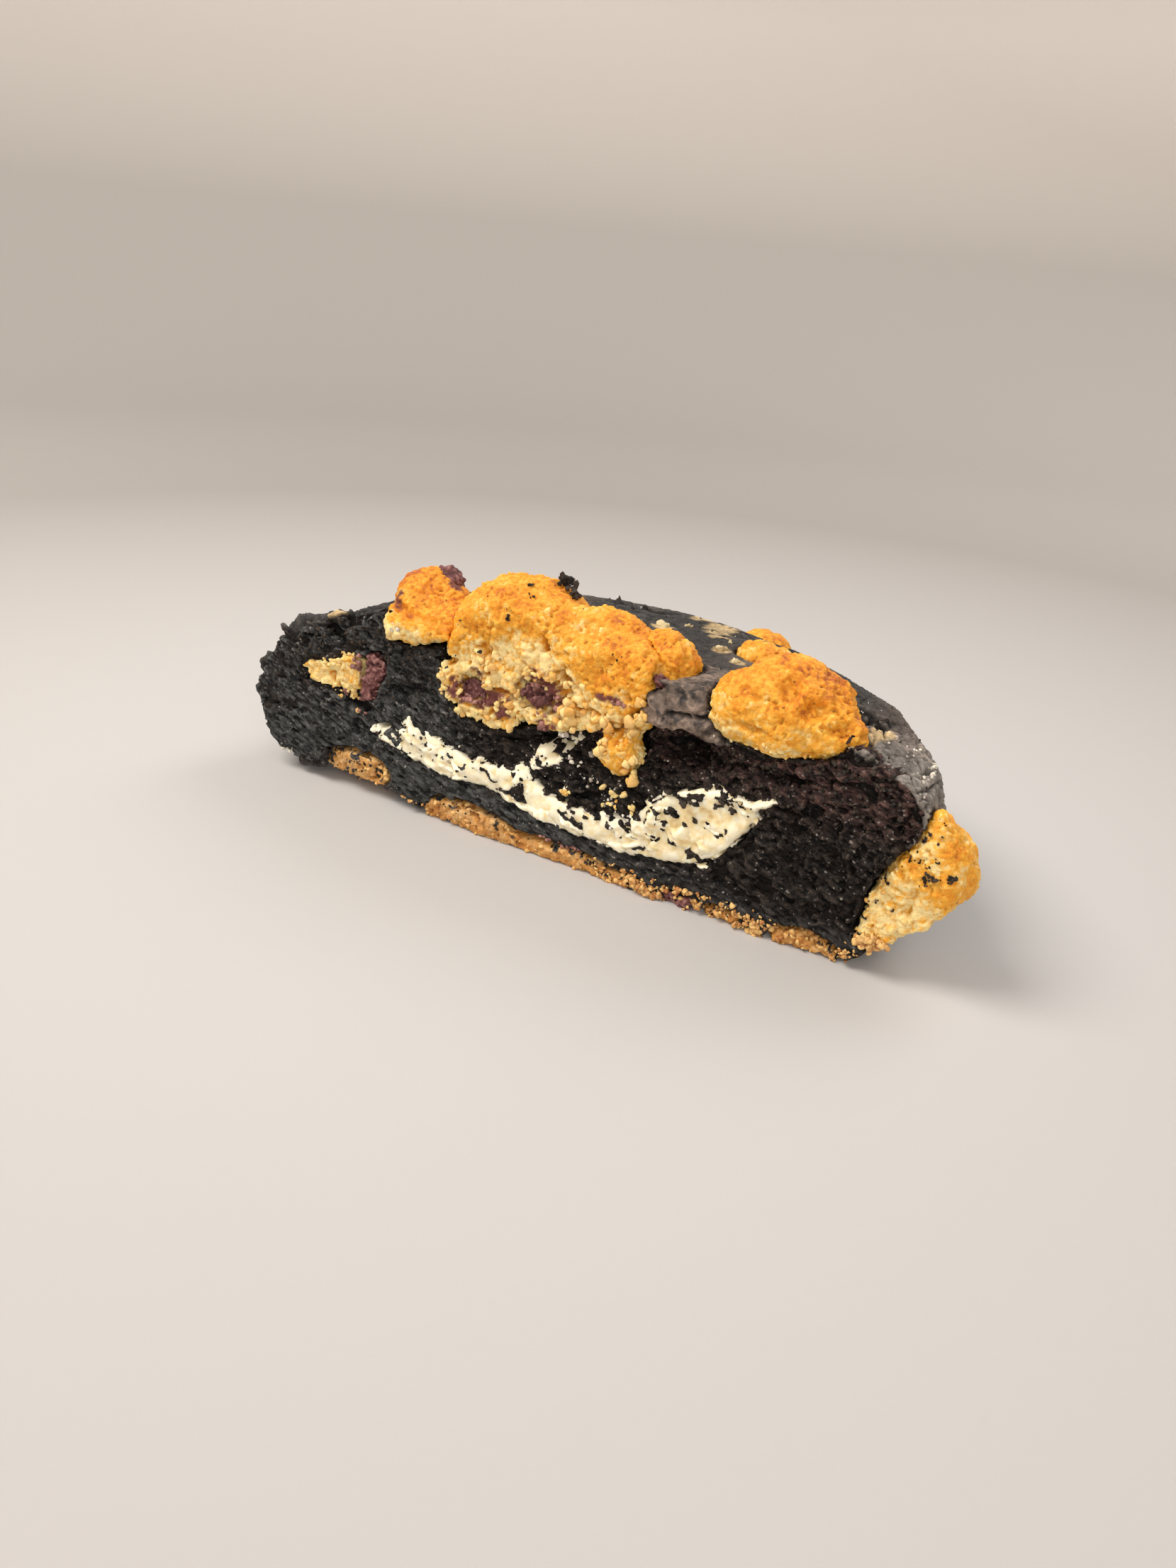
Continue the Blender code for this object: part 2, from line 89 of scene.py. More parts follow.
class Seed(IntEnum):
    """One seed for each pattern of noise that several pieces share or that belongs to no single piece."""

    BAND = 3
    LIP = 4
    DRAG = 5
    TEAR = 11
    TEAR_FINE = 12
    TEAR_HOLES = 13
    FACE_EDGE = 14
    FRAY = 16
    CRUST_SWELL = 21
    CRUST_WRINKLE = 22
    CRUST_CRACK = 23
    FOLD = 24
    CRAGS = 25
    BROKEN_CRUST = 26
    BROKEN_LUMPS = 27
    ZONES = 31
    BROWNING = 41
    BOTTOM_EDGE = 43
    PATCH_EDGE = 44
    CREAM_LAYER = 61
    CREAM_EDGE = 62
    CREAM_CURDS = 63
    CREAM_BITES = 64
    CREAM_FINE = 65


# ---------------------------------------------------------------- small tools


def linear(code: str) -> tuple[float, float, float, float]:
    """Turn an sRGB hex colour to linear light.

    Args:
        code: six hex digits, with or without a leading hash.

    Returns:
        Red, green, blue and an alpha of one.
    """
    digits = code.lstrip("#")
    shares = [int(digits[i : i + 2], 16) / 255 for i in (0, 2, 4)]
    red, green, blue = (s / 12.92 if s <= 0.04045 else ((s + 0.055) / 1.055) ** 2.4 for s in shares)
    return red, green, blue, 1.0


def feed(tree: bpy.types.NodeTree, value: Feed, socket: bpy.types.NodeSocket) -> None:
    """Give an input socket its value, or link it to a socket or to a node's first output in use."""
    if isinstance(value, bpy.types.Node):
        value = next(out for out in value.outputs if out.enabled)
    if isinstance(value, bpy.types.NodeSocket):
        tree.links.new(value, socket)
    else:
        socket.default_value = value


def add(
    tree: bpy.types.NodeTree,
    kind: str,
    inputs: dict | None = None,
    stops: Iterable[tuple[float, str]] = (),
    **settings: object,
) -> bpy.types.Node:
    """Add a node with its settings, its inputs and, on a ramp, its colours.

    Args:
        tree: the node tree it goes in.
        kind: the node's type name, without the ShaderNode in front.
        inputs: for each input, the value that it holds, or the node or the socket that feeds it.
        stops: for a colour ramp, places from 0 to 1 and their hex colours.
        settings: the node's own properties.

    Returns:
        The new node.
    """
    node = tree.nodes.new("ShaderNode" + kind)
    for name, value in settings.items():
        setattr(node, name, value)
    for key, value in (inputs or {}).items():
        feed(tree, value, node.inputs[key])
    for i, (place, code) in enumerate(stops):
        elements = node.color_ramp.elements
        stop = elements[i] if i < len(elements) else elements.new(place)
        stop.position = place
        stop.color = linear(code)
    return node


def span(value: Feed, low: float, high: float, least: float, most: float) -> dict[str, Feed]:
    """The inputs that turn values from low to high into values from least to most."""
    return {"Value": value, "From Min": low, "From Max": high, "To Min": least, "To Max": most}


def sized(at: Feed, size: float, **more: Feed) -> dict[str, Feed]:
    """The inputs of a pattern of real size, in millimetres, with any others by their names."""
    return {"Vector": at, "Scale": PER_METRE / size, **more}


def lit_within(share: float, reach: tuple[float, float, float], deep: float) -> dict[str, Feed]:
    """The inputs for light that spreads in a surface: how much of it, how far by colour, and millimetres."""
    return {"Subsurface Weight": share, "Subsurface Radius": reach, "Subsurface Scale": deep * MM}


def placed(name: str, data: bpy.types.ID) -> bpy.types.Object:
    """Make an object of its data and put it in the scene."""
    obj = bpy.data.objects.new(name, data)
    bpy.context.scene.collection.objects.link(obj)
    return obj


def smoothstep(low: float, high: float, values: Array) -> Array:
    """Rise smoothly from 0 at low to 1 at high, or fall where high is the smaller."""
    share = np.clip((values - low) / (high - low), 0.0, 1.0)
    return share * share * (3 - 2 * share)


def bump_at(points: Array, centre: tuple, reach: tuple) -> Array:
    """A soft spot: 1 at its centre, fading out over its reach along each axis.

    Args:
        points: places, one a row.
        centre: the middle of the spot.
        reach: how far it spreads along each axis.

    Returns:
        One value from 0 to 1 for each point.
    """
    away = (points - np.array(centre)) / np.array(reach)
    return np.exp(-np.sum(away * away, axis=1))


def bumps_at(points: Array, spots: Iterable[tuple[tuple, tuple]]) -> Array:
    """The strongest of several soft spots at each point. Each spot is its centre and its reach."""
    return np.max([np.zeros(len(points)), *(bump_at(points, *spot) for spot in spots)], axis=0)


class Noise:
    """Seeded noise on arrays of points: gradient noise, its layers, and cells."""

    CELLS = 256
    GAIN = 1.6  # brings gradient noise to about -1 to 1
    LAYER_SHIFT = 17.3  # keeps the layers' patterns apart, in millimetres
    AXIS_SHIFT = 40.0  # does so for the axes of a drift
    FAR = 9.0  # cells, farther than any middle can lie
    GRAIN_REACH = 0.74  # cells from a grain's middle to its edge

    def __init__(self, seed: int) -> None:
        """Draw the tables for one seed."""
        draw = np.random.default_rng(seed)
        order = draw.permutation(self.CELLS)
        self.order = np.concatenate([order, order])
        slopes = draw.normal(size=(self.CELLS, 3))
        self.slopes = slopes / np.linalg.norm(slopes, axis=1, keepdims=True)
        self.places = draw.random((self.CELLS, 3))
        self.tones = draw.random(self.CELLS)
        self.shift = draw.random(3) * self.CELLS

    def _slot(self, cell: Array) -> Array:
        """Give each whole-numbered cell its place in the tables."""
        x, y, z = (cell[:, k] % self.CELLS for k in range(3))
        return self.order[self.order[self.order[x] + y] + z]

    def soft(self, points: Array, size: float) -> Array:
        """Gradient noise.

        Args:
            points: places in millimetres, one a row.
            size: how far apart its bumps lie.

        Returns:
            A value from about -1 to 1 for each point.
        """
        at = points / size + self.shift
        cell = np.floor(at).astype(np.int64)
        part = at - cell
        ease = part**3 * (part * (part * 6 - 15) + 10)
        total = np.zeros(len(points))
        for corner in np.ndindex(2, 2, 2):
            step = np.array(corner)
            slope = self.slopes[self._slot(cell + step)]
            weight = np.prod(np.where(step, ease, 1 - ease), axis=1)
            total += weight * np.sum(slope * (part - step), axis=1)
        return total * self.GAIN

    def layers(self, points: Array, size: float, count: int = 3, fade: float = 0.5) -> Array:
        """Gradient noise with finer layers on it.

        Args:
            points: places in millimetres, one a row.
            size: the size of the coarsest layer, halved for each next one.
            count: how many layers there are.
            fade: each layer's strength as a share of the one before.

        Returns:
            A value from about -1 to 1 for each point.
        """
        total, strength, whole = np.zeros(len(points)), 1.0, 0.0
        for k in range(count):
            total += strength * self.soft(points + self.LAYER_SHIFT * k, size / 2**k)
            whole += strength
            strength *= fade
        return total / whole**0.5

    def drift(self, points: Array, size: float, count: int = 1, fade: float = 0.5, axes: int = 3) -> Array:
        """Noise of its own along each axis, to bend space with."""
        shifted = [self.layers(points + self.AXIS_SHIFT * k, size, count, fade) for k in range(axes)]
        return np.stack(shifted, axis=1)

    def lumps(self, points: Array, size: float) -> Array:
        """Rounded lumps that meet in creases: about -0.5 in a crease and up to 1 on a lump."""
        return 2.2 * np.abs(self.soft(points, size)) - 0.5

    def cells(self, points: Array, size: float) -> tuple[Array, Array, Array]:
        """Distances to the nearest and the next nearest of scattered middles.

        Args:
            points: places in millimetres, one a row.
            size: how far apart the middles lie.

        Returns:
            Both distances, as shares of the size, and the nearest middle's own number from 0 to 1.
        """
        at = points / size + self.shift
        cell = np.floor(at).astype(np.int64)
        near = np.full(len(points), self.FAR)
        next_near = near.copy()
        tone = np.zeros(len(points))
        for corner in np.ndindex(3, 3, 3):
            there = cell + np.array(corner) - 1
            slot = self._slot(there)
            away = np.linalg.norm(there + self.places[slot] - at, axis=1)
            next_near = np.minimum(next_near, np.maximum(near, away))
            tone = np.where(away < near, self.tones[slot], tone)
            near = np.minimum(near, away)
        return near, next_near, tone

    def grains(self, points: Array, size: float) -> tuple[Array, Array]:
        """Grains of unequal height side by side: up to 1 on a crown and 0 between, and each grain's tone."""
        near, _, tone = self.cells(points, size)
        return np.clip(1 - (near / self.GRAIN_REACH) ** 2, 0, 1) * (0.45 + 0.55 * tone), tone

    def cracks(self, points: Array, size: float, width: float) -> Array:
        """Thin lines between cells: 1 in a crack, 0 away from it, with width in millimetres."""
        near, next_near, _ = self.cells(points, size)
        return np.exp(-(((next_near - near) * size / width) ** 2))


class Skin:
    """A fine mesh that is being worked on, in millimetres."""

    def __init__(self, obj: bpy.types.Object) -> None:
        """Take over an object whose mesh is in millimetres."""
        self.obj = obj

    @classmethod
    def over(cls, name: str, node: str, voxel: float) -> "Skin":
        """Lay an even skin of small squares over a CAD node's solid.

        Args:
            name: the new piece's name.
            node: the CAD node.
            voxel: the squares' width.

        Returns:
            The new skin.
        """
        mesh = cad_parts[node].data.copy()
        mesh.materials.clear()
        mesh.transform(Matrix.Scale(PER_METRE, 4))
        obj = placed(name, mesh)
        modifier = obj.modifiers.new("skin", "REMESH")
        modifier.mode = "VOXEL"
        modifier.voxel_size = voxel
        seen = obj.evaluated_get(bpy.context.evaluated_depsgraph_get())
        fine = bpy.data.meshes.new_from_object(seen)
        obj.modifiers.clear()
        obj.data = fine
        fine.name = name
        return cls(obj)

    @classmethod
    def of(cls, name: str, points: Array, faces: list) -> "Skin":
        """Make a skin of points and faces."""
        mesh = bpy.data.meshes.new(name)
        mesh.from_pydata(points.tolist(), [], faces)
        return cls(placed(name, mesh))

    @staticmethod
    def _read(rows: bpy.types.bpy_prop_collection, name: str, width: int, kind: type = np.float32) -> Array:
        """Read one property of a mesh's points, edges or triangles, one a row."""
        flat = np.empty(len(rows) * width, kind)
        rows.foreach_get(name, flat)
        return flat.reshape(-1, width)

    def points(self) -> Array:
        """The mesh's points, one a row."""
        return self._read(self.obj.data.vertices, "co", 3).astype(float)

    def set_points(self, points: Array) -> None:
        """Move the mesh's points."""
        self.obj.data.vertices.foreach_set("co", points.astype(np.float32).ravel())
        self.obj.data.update()

    def normals(self) -> Array:
        """The directions out of the mesh at its points."""
        return self._read(self.obj.data.vertex_normals, "vector", 3).astype(float)

    def edges(self) -> Array:
        """The ends of each edge, one edge a row."""
        return self._read(self.obj.data.edges, "vertices", 2, np.int32)

    def triangles(self) -> Array:
        """The corners of each triangle, one a row."""
        self.obj.data.calc_loop_triangles()
        return self._read(self.obj.data.loop_triangles, "vertices", 3, np.int32)

    def smoothed(self, points: Array, rounds: int, share: Array | float = 0.5) -> Array:
        """Pull points towards their neighbours' middle.

        Args:
            points: one place for each of the mesh's points.
            rounds: how often.
            share: how much of the way, for all points or for each.

        Returns:
            The smoothed points.
        """
        first, second = self.edges().T
        count = np.bincount(first, minlength=len(points)) + np.bincount(second, minlength=len(points))
        count = np.maximum(count, 1)[:, None]
        share = np.broadcast_to(np.asarray(share, float), (len(points),))[:, None]
        points = points.copy()
        for _ in range(rounds):
            total = np.empty_like(points)
            for k in range(points.shape[1]):
                total[:, k] = np.bincount(first, points[second, k], len(points))
                total[:, k] += np.bincount(second, points[first, k], len(points))
            points += share * (total / count - points)
        return points

    def smooth(self, rounds: int, share: Array | float = 0.5) -> None:
        """Smooth the mesh itself."""
        self.set_points(self.smoothed(self.points(), rounds, share))

    def push(self, distance: Array) -> Array:
        """Move each point out along its normal, but not below the ground, and give the new places."""
        points = self.points() + self.normals() * distance[:, None]
        points[:, 2] = np.maximum(points[:, 2], 0.0)
        self.set_points(points)
        return self.points()

    def hollows(self, rounds: int, depth: float) -> Array:
        """How far each point lies in a dent.

        Args:
            rounds: how wide the dents are that count, in smoothing rounds.
            depth: the depth that gives 1.

        Returns:
            A value from -1 on crests to 1 in pits for each point.
        """
        points = self.points()
        rise = self.smoothed(points, rounds) - points
        return np.clip(np.sum(rise * self.normals(), axis=1) / depth, -1, 1)

    def note(self, name: str, values: Array) -> None:
        """Keep one number for each point, for the material to read."""
        layer = self.obj.data.attributes.new(name, "FLOAT", "POINT")
        layer.data.foreach_set("value", values.astype(np.float32))

    def refine(self, chosen: Callable) -> None:
        """Split the chosen faces in four.

        Args:
            chosen: takes the faces' middles and normals, and says which to split.
        """
        bm = bmesh.new()
        bm.from_mesh(self.obj.data)
        bm.faces.ensure_lookup_table()
        middles = np.array([f.calc_center_median() for f in bm.faces])
        normals = np.array([f.normal for f in bm.faces])
        picked = {e for i in np.flatnonzero(chosen(middles, normals)) for e in bm.faces[i].edges}
        bmesh.ops.subdivide_edges(bm, edges=list(picked), cuts=1, use_grid_fill=True)
        bm.to_mesh(self.obj.data)
        bm.free()

    def tree(self) -> BVHTree:
        """A search tree of its triangles, for rays."""
        return BVHTree.FromPolygons(self.points().tolist(), self.triangles().tolist())

    def finish(self, material: bpy.types.Material, slot: Slot, *nodes: str) -> None:
        """Turn the skin to metres, dress it, and hand it to the frame.

        Args:
            material: what it is dressed in.
            slot: not used.
            nodes: the CAD nodes that it stands for.
        """
        mesh = self.obj.data
        mesh.transform(Matrix.Scale(MM, 4))
        mesh.materials.clear()
        mesh.materials.append(material)
        mesh.shade_smooth()
        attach(self.obj, "root")
        if nodes:
            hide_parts(*nodes)
        LOG.info("%s: %d faces", self.obj.name, len(mesh.polygons))


# ---------------------------------------------------------------- finishes


@dataclass(frozen=True)
class Finish:
    """What all finishes share: a material with one shader, which reads numbers that the skins hold."""

    name: str

    def start(self, *marks: str) -> tuple[bpy.types.Material, Callable, bpy.types.NodeSocket, list]:
        """Make the material.

        Args:
            marks: the names of the skins' numbers that it reads.

        Returns:
            The material, a function that adds a node to it, the place of each point, and each mark's socket.
        """
        material = bpy.data.materials.new(self.name)
        material.use_nodes = True
        node = partial(add, material.node_tree)
        sockets = [node("Attribute", attribute_name=mark).outputs["Fac"] for mark in marks]
        return material, node, node("TexCoord").outputs["Object"], sockets

    def close(
        self, material: bpy.types.Material, colour: Feed, bumps: tuple, values: dict
    ) -> bpy.types.Material:
        """Feed the shader.

        Args:
            material: the material that was started.
            colour: what gives its colour.
            bumps: its relief, each layer on the one before: what gives the height, the strength and the depth
                in millimetres.
            values: the shader's other inputs.

        Returns:
            The material.
        """
        tree, normal = material.node_tree, {}
        for height, strength, deep in bumps:
            layer = {"Height": height, "Strength": strength, "Distance": deep * MM, **normal}
            normal = {"Normal": add(tree, "Bump", layer)}
        for key, value in {"Base Color": colour, **normal, **values}.items():
            feed(tree, value, tree.nodes["Principled BSDF"].inputs[key])
        return material


@dataclass(frozen=True)
class CocoaCrumb(Finish):
    """Baked black cocoa cake: a dry matte crust, and an open crumb where a blade went through.

    The crust scatters light evenly, so it reads slate grey; a soft sheen and shade on its fine wrinkles are
    painted into its colour. The torn crumb is nearly black, and slate grey where the blade dragged it and at
    its left end, where that grey is partly painted light. Tiny sugar facets are painted as light specks, as
    highlights.
    """

    name: str = "cocoa_crumb_baked_and_cut"
    # the open crumb, each time dark and light: torn, torn near the crust, and dragged by the blade;
    # the slate also colours the left end, partly its own grey and partly painted light
    torn: tuple[str, str] = ("#050403", "#3A322D")
    warm: tuple[str, str] = ("#0C0606", "#5C443E")
    slate: tuple[str, str] = ("#101010", "#575756")
    crust: str = "#383635"
    # paler crust at the right end: partly a drier crackled crust, partly a painted sheen of the sky
    crust_pale_and_sheen: str = "#7A736C"
    crust_brown: str = "#827165"
    smear: str = "#B9A078"
    # painted highlight: the light grey that the few glinting facets are given
    painted_glint: str = "#A39B93"
    roughness: float = 0.74
    crumb_mm: float = 0.6  # size of a single crumb
    facet_mm: float = 0.24  # size of the facets that glint: real ones are half as big, too fine to show
    wrinkle_mm: float = 1.1
    cloud_mm: float = 5.0  # size of the patches where the crust baked lighter or darker
    # slope of the crumb's threads in degrees, and their width as a share of their length
    thread: tuple[float, float] = (20.0, 0.4)

    def build(self) -> bpy.types.Material:
        """Make the material, which reads the marks cut, band, warm, pale, brown, smear and hollow."""
        material, node, at, marks = self.start("cut", "band", "warm", "pale", "brown", "smear", "hollow")
        cut, band, warm, pale, brown, smear, hollow = marks
        slope, thin = self.thread
        turned = node("VectorRotate", {"Vector": at, "Angle": math.radians(-slope)}, rotation_type="Y_AXIS")
        threads = node("VectorMath", {0: turned, 1: (thin, 1.0, 1.0)}, operation="MULTIPLY")
        crumb = node("TexNoise", sized(threads, self.crumb_mm, Detail=5.0, Roughness=0.7))
        inside, warm_crumb, slate_crumb = (
            node("ValToRGB", {"Fac": crumb}, stops=((0.41, dark), (0.67, light)))
            for dark, light in (self.torn, self.warm, self.slate)
        )
        facets = node("TexVoronoi", sized(at, self.facet_mm))
        facet_tone = node("SeparateColor", {"Color": facets.outputs["Color"]})
        # painted highlights: the brightest few facets are mixed towards a light grey
        painted_glints = node("MapRange", span(facet_tone, 0.96, 1.0, 0.0, 0.5))
        for share, colour in ((warm, warm_crumb), (band, slate_crumb), (painted_glints, linear(self.painted_glint))):
            inside = node("Mix", {"Factor": share, "A": inside, "B": colour}, data_type="RGBA")
        crust = linear(self.crust)
        for share, code in ((pale, self.crust_pale_and_sheen), (brown, self.crust_brown), (smear, self.smear)):
            crust = node("Mix", {"Factor": share, "A": crust, "B": linear(code)}, data_type="RGBA")
        wrinkles = node("TexNoise", sized(at, self.wrinkle_mm, Detail=6.0, Roughness=0.7, Distortion=0.6))
        clouds = node("TexNoise", sized(at, self.cloud_mm, Detail=3.0))
        # painted sheen and shade: the wrinkles lighten and darken the colour; the clouds are the crust's own
        # uneven baking
        for value, least, most in ((wrinkles, 0.4, 1.55), (clouds, 0.65, 1.35)):
            shade = node("MapRange", span(value, 0.3, 0.7, least, most))
            crust = node("VectorMath", {0: crust, "Scale": shade}, operation="SCALE")
        joined = node("Mix", {"Factor": cut, "A": crust, "B": inside}, data_type="RGBA")
        # painted shade and light: the colour is darkened in pits and lightened on crests
        depth = node("MapRange", span(hollow, -0.8, 0.8, 1.8, 0.12))
        final = node("VectorMath", {0: joined, "Scale": depth}, operation="SCALE")
        gloss = span(facet_tone.outputs["Green"], 0.0, 1.0, self.roughness - 0.34, self.roughness + 0.2)
        values = {"Roughness": node("MapRange", gloss), "Specular IOR Level": 0.2, "IOR": 1.45}
        bumps = ((wrinkles, 0.55, 0.25), (facets, 0.5, 0.1), (crumb, 0.8, 0.35))
        return self.close(material, final, bumps, values)


@dataclass(frozen=True)
class CookieDough(Finish):
    """Butter cookie dough, baked: a golden skin, browned on its ridges, and a pale sandy inside.

    Fat lets light into the surface, which softens it. Sugar grains make it sandy, and the browning is uneven.
    """

    inside: str = "#F9DE9C"
    yellow: str = "#F4B23E"
    golden: str = "#EA9422"
    brown: str = "#B86228"
    chocolate: str = "#74413A"
    speck: str = "#4A2A1A"
    roughness: float = 0.55
    grain_mm: float = 0.5
    mottle_mm: float = 2.4
    speck_mm: float = 2.1  # how far apart the dark specks lie
    glow_mm: float = 0.8  # how deep light spreads

    def build(self) -> bpy.types.Material:
        """Make the material, which reads the marks bake, stain and hollow."""
        material, node, at, (bake, stain, hollow) = self.start("bake", "stain", "hollow")
        mottle, grain = (
            node("TexNoise", sized(at, size, Detail=detail, Roughness=rough))
            for size, detail, rough in ((self.mottle_mm, 5.0, 0.68), (self.grain_mm, 3.0, 0.65))
        )
        sugar = node("TexVoronoi", sized(at, self.grain_mm))
        sugar_tone = node("SeparateColor", {"Color": sugar.outputs["Color"]})
        browning: Feed = bake
        # each sugar grain and each patch browned on its own
        for value, low, high, most in (
            (mottle, 0.3, 0.7, 0.24), (grain, 0.3, 0.7, 0.12), (sugar_tone, 0.0, 1.0, 0.14),
        ):
            change = node("MapRange", span(value, low, high, -most, most))
            browning = node("Math", {0: browning, 1: change}, operation="ADD")
        # light that scatters in a pit comes out redder, so hollows look deeper baked than crests
        browning = node("Math", {0: hollow, 1: 0.12, 2: browning}, operation="MULTIPLY_ADD")
        stops = ((0.05, self.inside), (0.38, self.yellow), (0.7, self.golden), (1.0, self.brown))
        colour = node("ValToRGB", {"Fac": browning}, stops=stops)
        dots = node("TexVoronoi", sized(at, self.speck_mm))
        dot = node("MapRange", span(dots, 0.05, 0.1, 0.7, 0.0))
        for share, code in ((stain, self.chocolate), (dot, self.speck)):
            colour = node("Mix", {"Factor": share, "A": colour, "B": linear(code)}, data_type="RGBA")
        # painted shade and light: the colour is darkened in pits and lightened on crests
        depth = node("MapRange", span(hollow, -1.0, 1.0, 1.1, 0.72))
        final = node("VectorMath", {0: colour, "Scale": depth}, operation="SCALE")
        values = {"Roughness": self.roughness, "Specular IOR Level": 0.3, "IOR": 1.46}
        values |= lit_within(0.3, (1.0, 0.55, 0.2), self.glow_mm)
        bumps = ((mottle, 0.45, 0.5), (sugar, 0.4, -0.14), (grain, 0.8, 0.3))
        return self.close(material, final, bumps, values)


@dataclass(frozen=True)
class BakedCream(Finish):
    """Cream cheese filling, baked inside the cookie until it curdled: ivory, soft and slightly moist.

    Light goes in and comes out blurred, so it shows no hard shadow. Its hollows are painted a deeper
    yellow as shade, and its crests paler as light.
    """

    name: str = "cream_cheese_baked"
    # the palest curd, which crests also get as painted light; deep is the darker curd and painted shade in
    # hollows
    pale_curd_and_lit_crest: str = "#FFF3D6"
    body: str = "#F3DCA6"
    deep: str = "#C4944E"
    roughness: float = 0.38
    curd_mm: float = 1.6
    glow_mm: float = 0.9

    def build(self) -> bpy.types.Material:
        """Make the material, which reads the marks hollow and rich."""
        material, node, at, (hollow, rich) = self.start("hollow", "rich")
        curd = node("TexNoise", sized(at, self.curd_mm, Detail=5.0, Roughness=0.65))
        tone = curd
        # painted shade and light: hollows shift the tone towards deep, crests towards the palest curd
        for mark, share in ((hollow, 0.42), (rich, 0.1)):
            tone = node("Math", {0: mark, 1: share, 2: tone}, operation="MULTIPLY_ADD")
        stops = ((0.42, self.pale_curd_and_lit_crest), (0.64, self.body), (1.0, self.deep))
        colour = node("ValToRGB", {"Fac": tone}, stops=stops)
        values = {"Roughness": self.roughness, "Specular IOR Level": 0.45, "IOR": 1.45}
        values |= lit_within(0.3, (1.0, 0.75, 0.4), self.glow_mm)
        return self.close(material, colour, ((curd, 0.5, 0.4),), values)


@dataclass(frozen=True)
class MilkChocolate(Finish):
    """Milk chocolate, melted in the oven and set again: purple-brown and dull, with paler smeared patches."""

    name: str = "milk_chocolate_melted"
    dark: str = "#3A1E1D"
    middle: str = "#724442"
    light: str = "#AC7F76"
    roughness: float = 0.55
    bloom_mm: float = 1.1

    def build(self) -> bpy.types.Material:
        """Make the material, which reads the mark hollow."""
        material, node, at, (hollow,) = self.start("hollow")
        bloom = node("TexNoise", sized(at, self.bloom_mm, Detail=6.0, Roughness=0.7))
        # painted shade and light: darker in the pits, paler on the crests
        tone = node("Math", {0: hollow, 1: -0.22, 2: bloom}, operation="MULTIPLY_ADD")
        stops = ((0.3, self.dark), (0.52, self.middle), (0.75, self.light))
        colour = node("ValToRGB", {"Fac": tone}, stops=stops)
        values = {"Roughness": self.roughness, "Specular IOR Level": 0.3, "IOR": 1.5}
        return self.close(material, colour, ((bloom, 0.7, 0.4),), values)


@dataclass(frozen=True)
class LooseGrain(Finish):
    """Loose grains of one stuff, broken off by the blade: each grain has its own tone."""

    dark: str
    light: str
    roughness: float = 0.6
    specular: float = 0.4
    glow: float = 0.0
    grain_mm: float = 0.3
    glow_mm: float = 0.6

    def build(self) -> bpy.types.Material:
        """Make the material, which reads the mark tone."""
        material, node, at, (tone,) = self.start("tone")
        rough = node("TexNoise", sized(at, self.grain_mm, Detail=3.0))
        mixed = node("Math", {0: rough, 1: 0.5, 2: tone}, operation="MULTIPLY_ADD")
        colour = node("ValToRGB", {"Fac": mixed}, stops=((0.15, self.dark), (1.0, self.light)))
        values = {"Roughness": self.roughness, "Specular IOR Level": self.specular}
        values |= lit_within(self.glow, (1.0, 0.6, 0.25), self.glow_mm)
        return self.close(material, colour, ((rough, 0.5, 0.15),), values)


@dataclass(frozen=True)
class SweepPaper(Finish):
    """Matt card, bent up into a seamless sweep, with a faint tooth and painted light and shade."""

    name: str = "sweep_paper_matt"
    # distance from the object's middle in metres, and the card's tone there, painted light and shade
    tones: tuple = ((0.06, "#BEBBB9"), (0.24, "#A49E99"), (0.64, "#C9C3BD"), (0.74, "#F7F0E9"))
    tooth_mm: float = 0.8

    def build(self) -> bpy.types.Material:
        """Make the material, whose painted light and shade change with the distance from the object."""
        material, node, at, _ = self.start()
        reach = node("VectorMath", {0: at}, operation="LENGTH")
        tooth = node("TexNoise", sized(at, self.tooth_mm, Detail=4.0))
        colour = node("ValToRGB", {"Fac": reach}, stops=self.tones)
        values = {"Roughness": 0.9, "Specular IOR Level": 0.2}
        return self.close(material, colour, ((tooth, 0.12, 0.1),), values)


# ---------------------------------------------------------------- camera and studio


@dataclass(frozen=True)
class PhotoCamera:
    """The camera that took the picture: its place in millimetres, its axes, and its picture in pixels."""

    place: tuple[float, float, float] = (72.99, -139.94, 73.27)
    right: tuple[float, float, float] = (0.8537, 0.5144, 0.0813)
    up: tuple[float, float, float] = (-0.2734, 0.3098, 0.9106)
    ahead: tuple[float, float, float] = (-0.4432, 0.7996, -0.4051)
    high: int = 2212  # of a picture that is 1659 wide
    focal_px: float = 1660.0
    sensor_mm: float = 36.0

    def create(self) -> None:
        """Put the camera in the scene and make it the scene's own."""
        data = bpy.data.cameras.new("camera")
        data.sensor_width = self.sensor_mm
        data.lens = self.focal_px * self.sensor_mm / self.high
        data.clip_start, data.clip_end = 0.01, 20.0
        camera = placed("camera", data)
        axes = Matrix((self.right, self.up, tuple(-v for v in self.ahead))).transposed()
        camera.matrix_world = Matrix.Translation(Vector(self.place) * MM) @ axes.to_4x4()
        bpy.context.scene.camera = camera


@dataclass
class Lamp:
    """One soft square light: its place and its aim in metres, its width, its power and its colour."""

    name: str
    place: tuple[float, float, float]
    width: float
    watts: float
    code: str = "#FFFFFF"
    aim: tuple[float, float, float] = (0.0, 0.0, 0.015)

    def create(self) -> None:
        """Hang the light and turn it to its aim."""
        data = bpy.data.lights.new(self.name, "AREA")
        data.shape = "SQUARE"
        data.size = self.width
        data.energy = self.watts
        data.color = linear(self.code)[:3]
        lamp = placed(self.name, data)
        lamp.location = self.place
        lamp.rotation_mode = "QUATERNION"
        lamp.rotation_quaternion = (Vector(self.aim) - Vector(self.place)).to_track_quat("-Z", "Y")


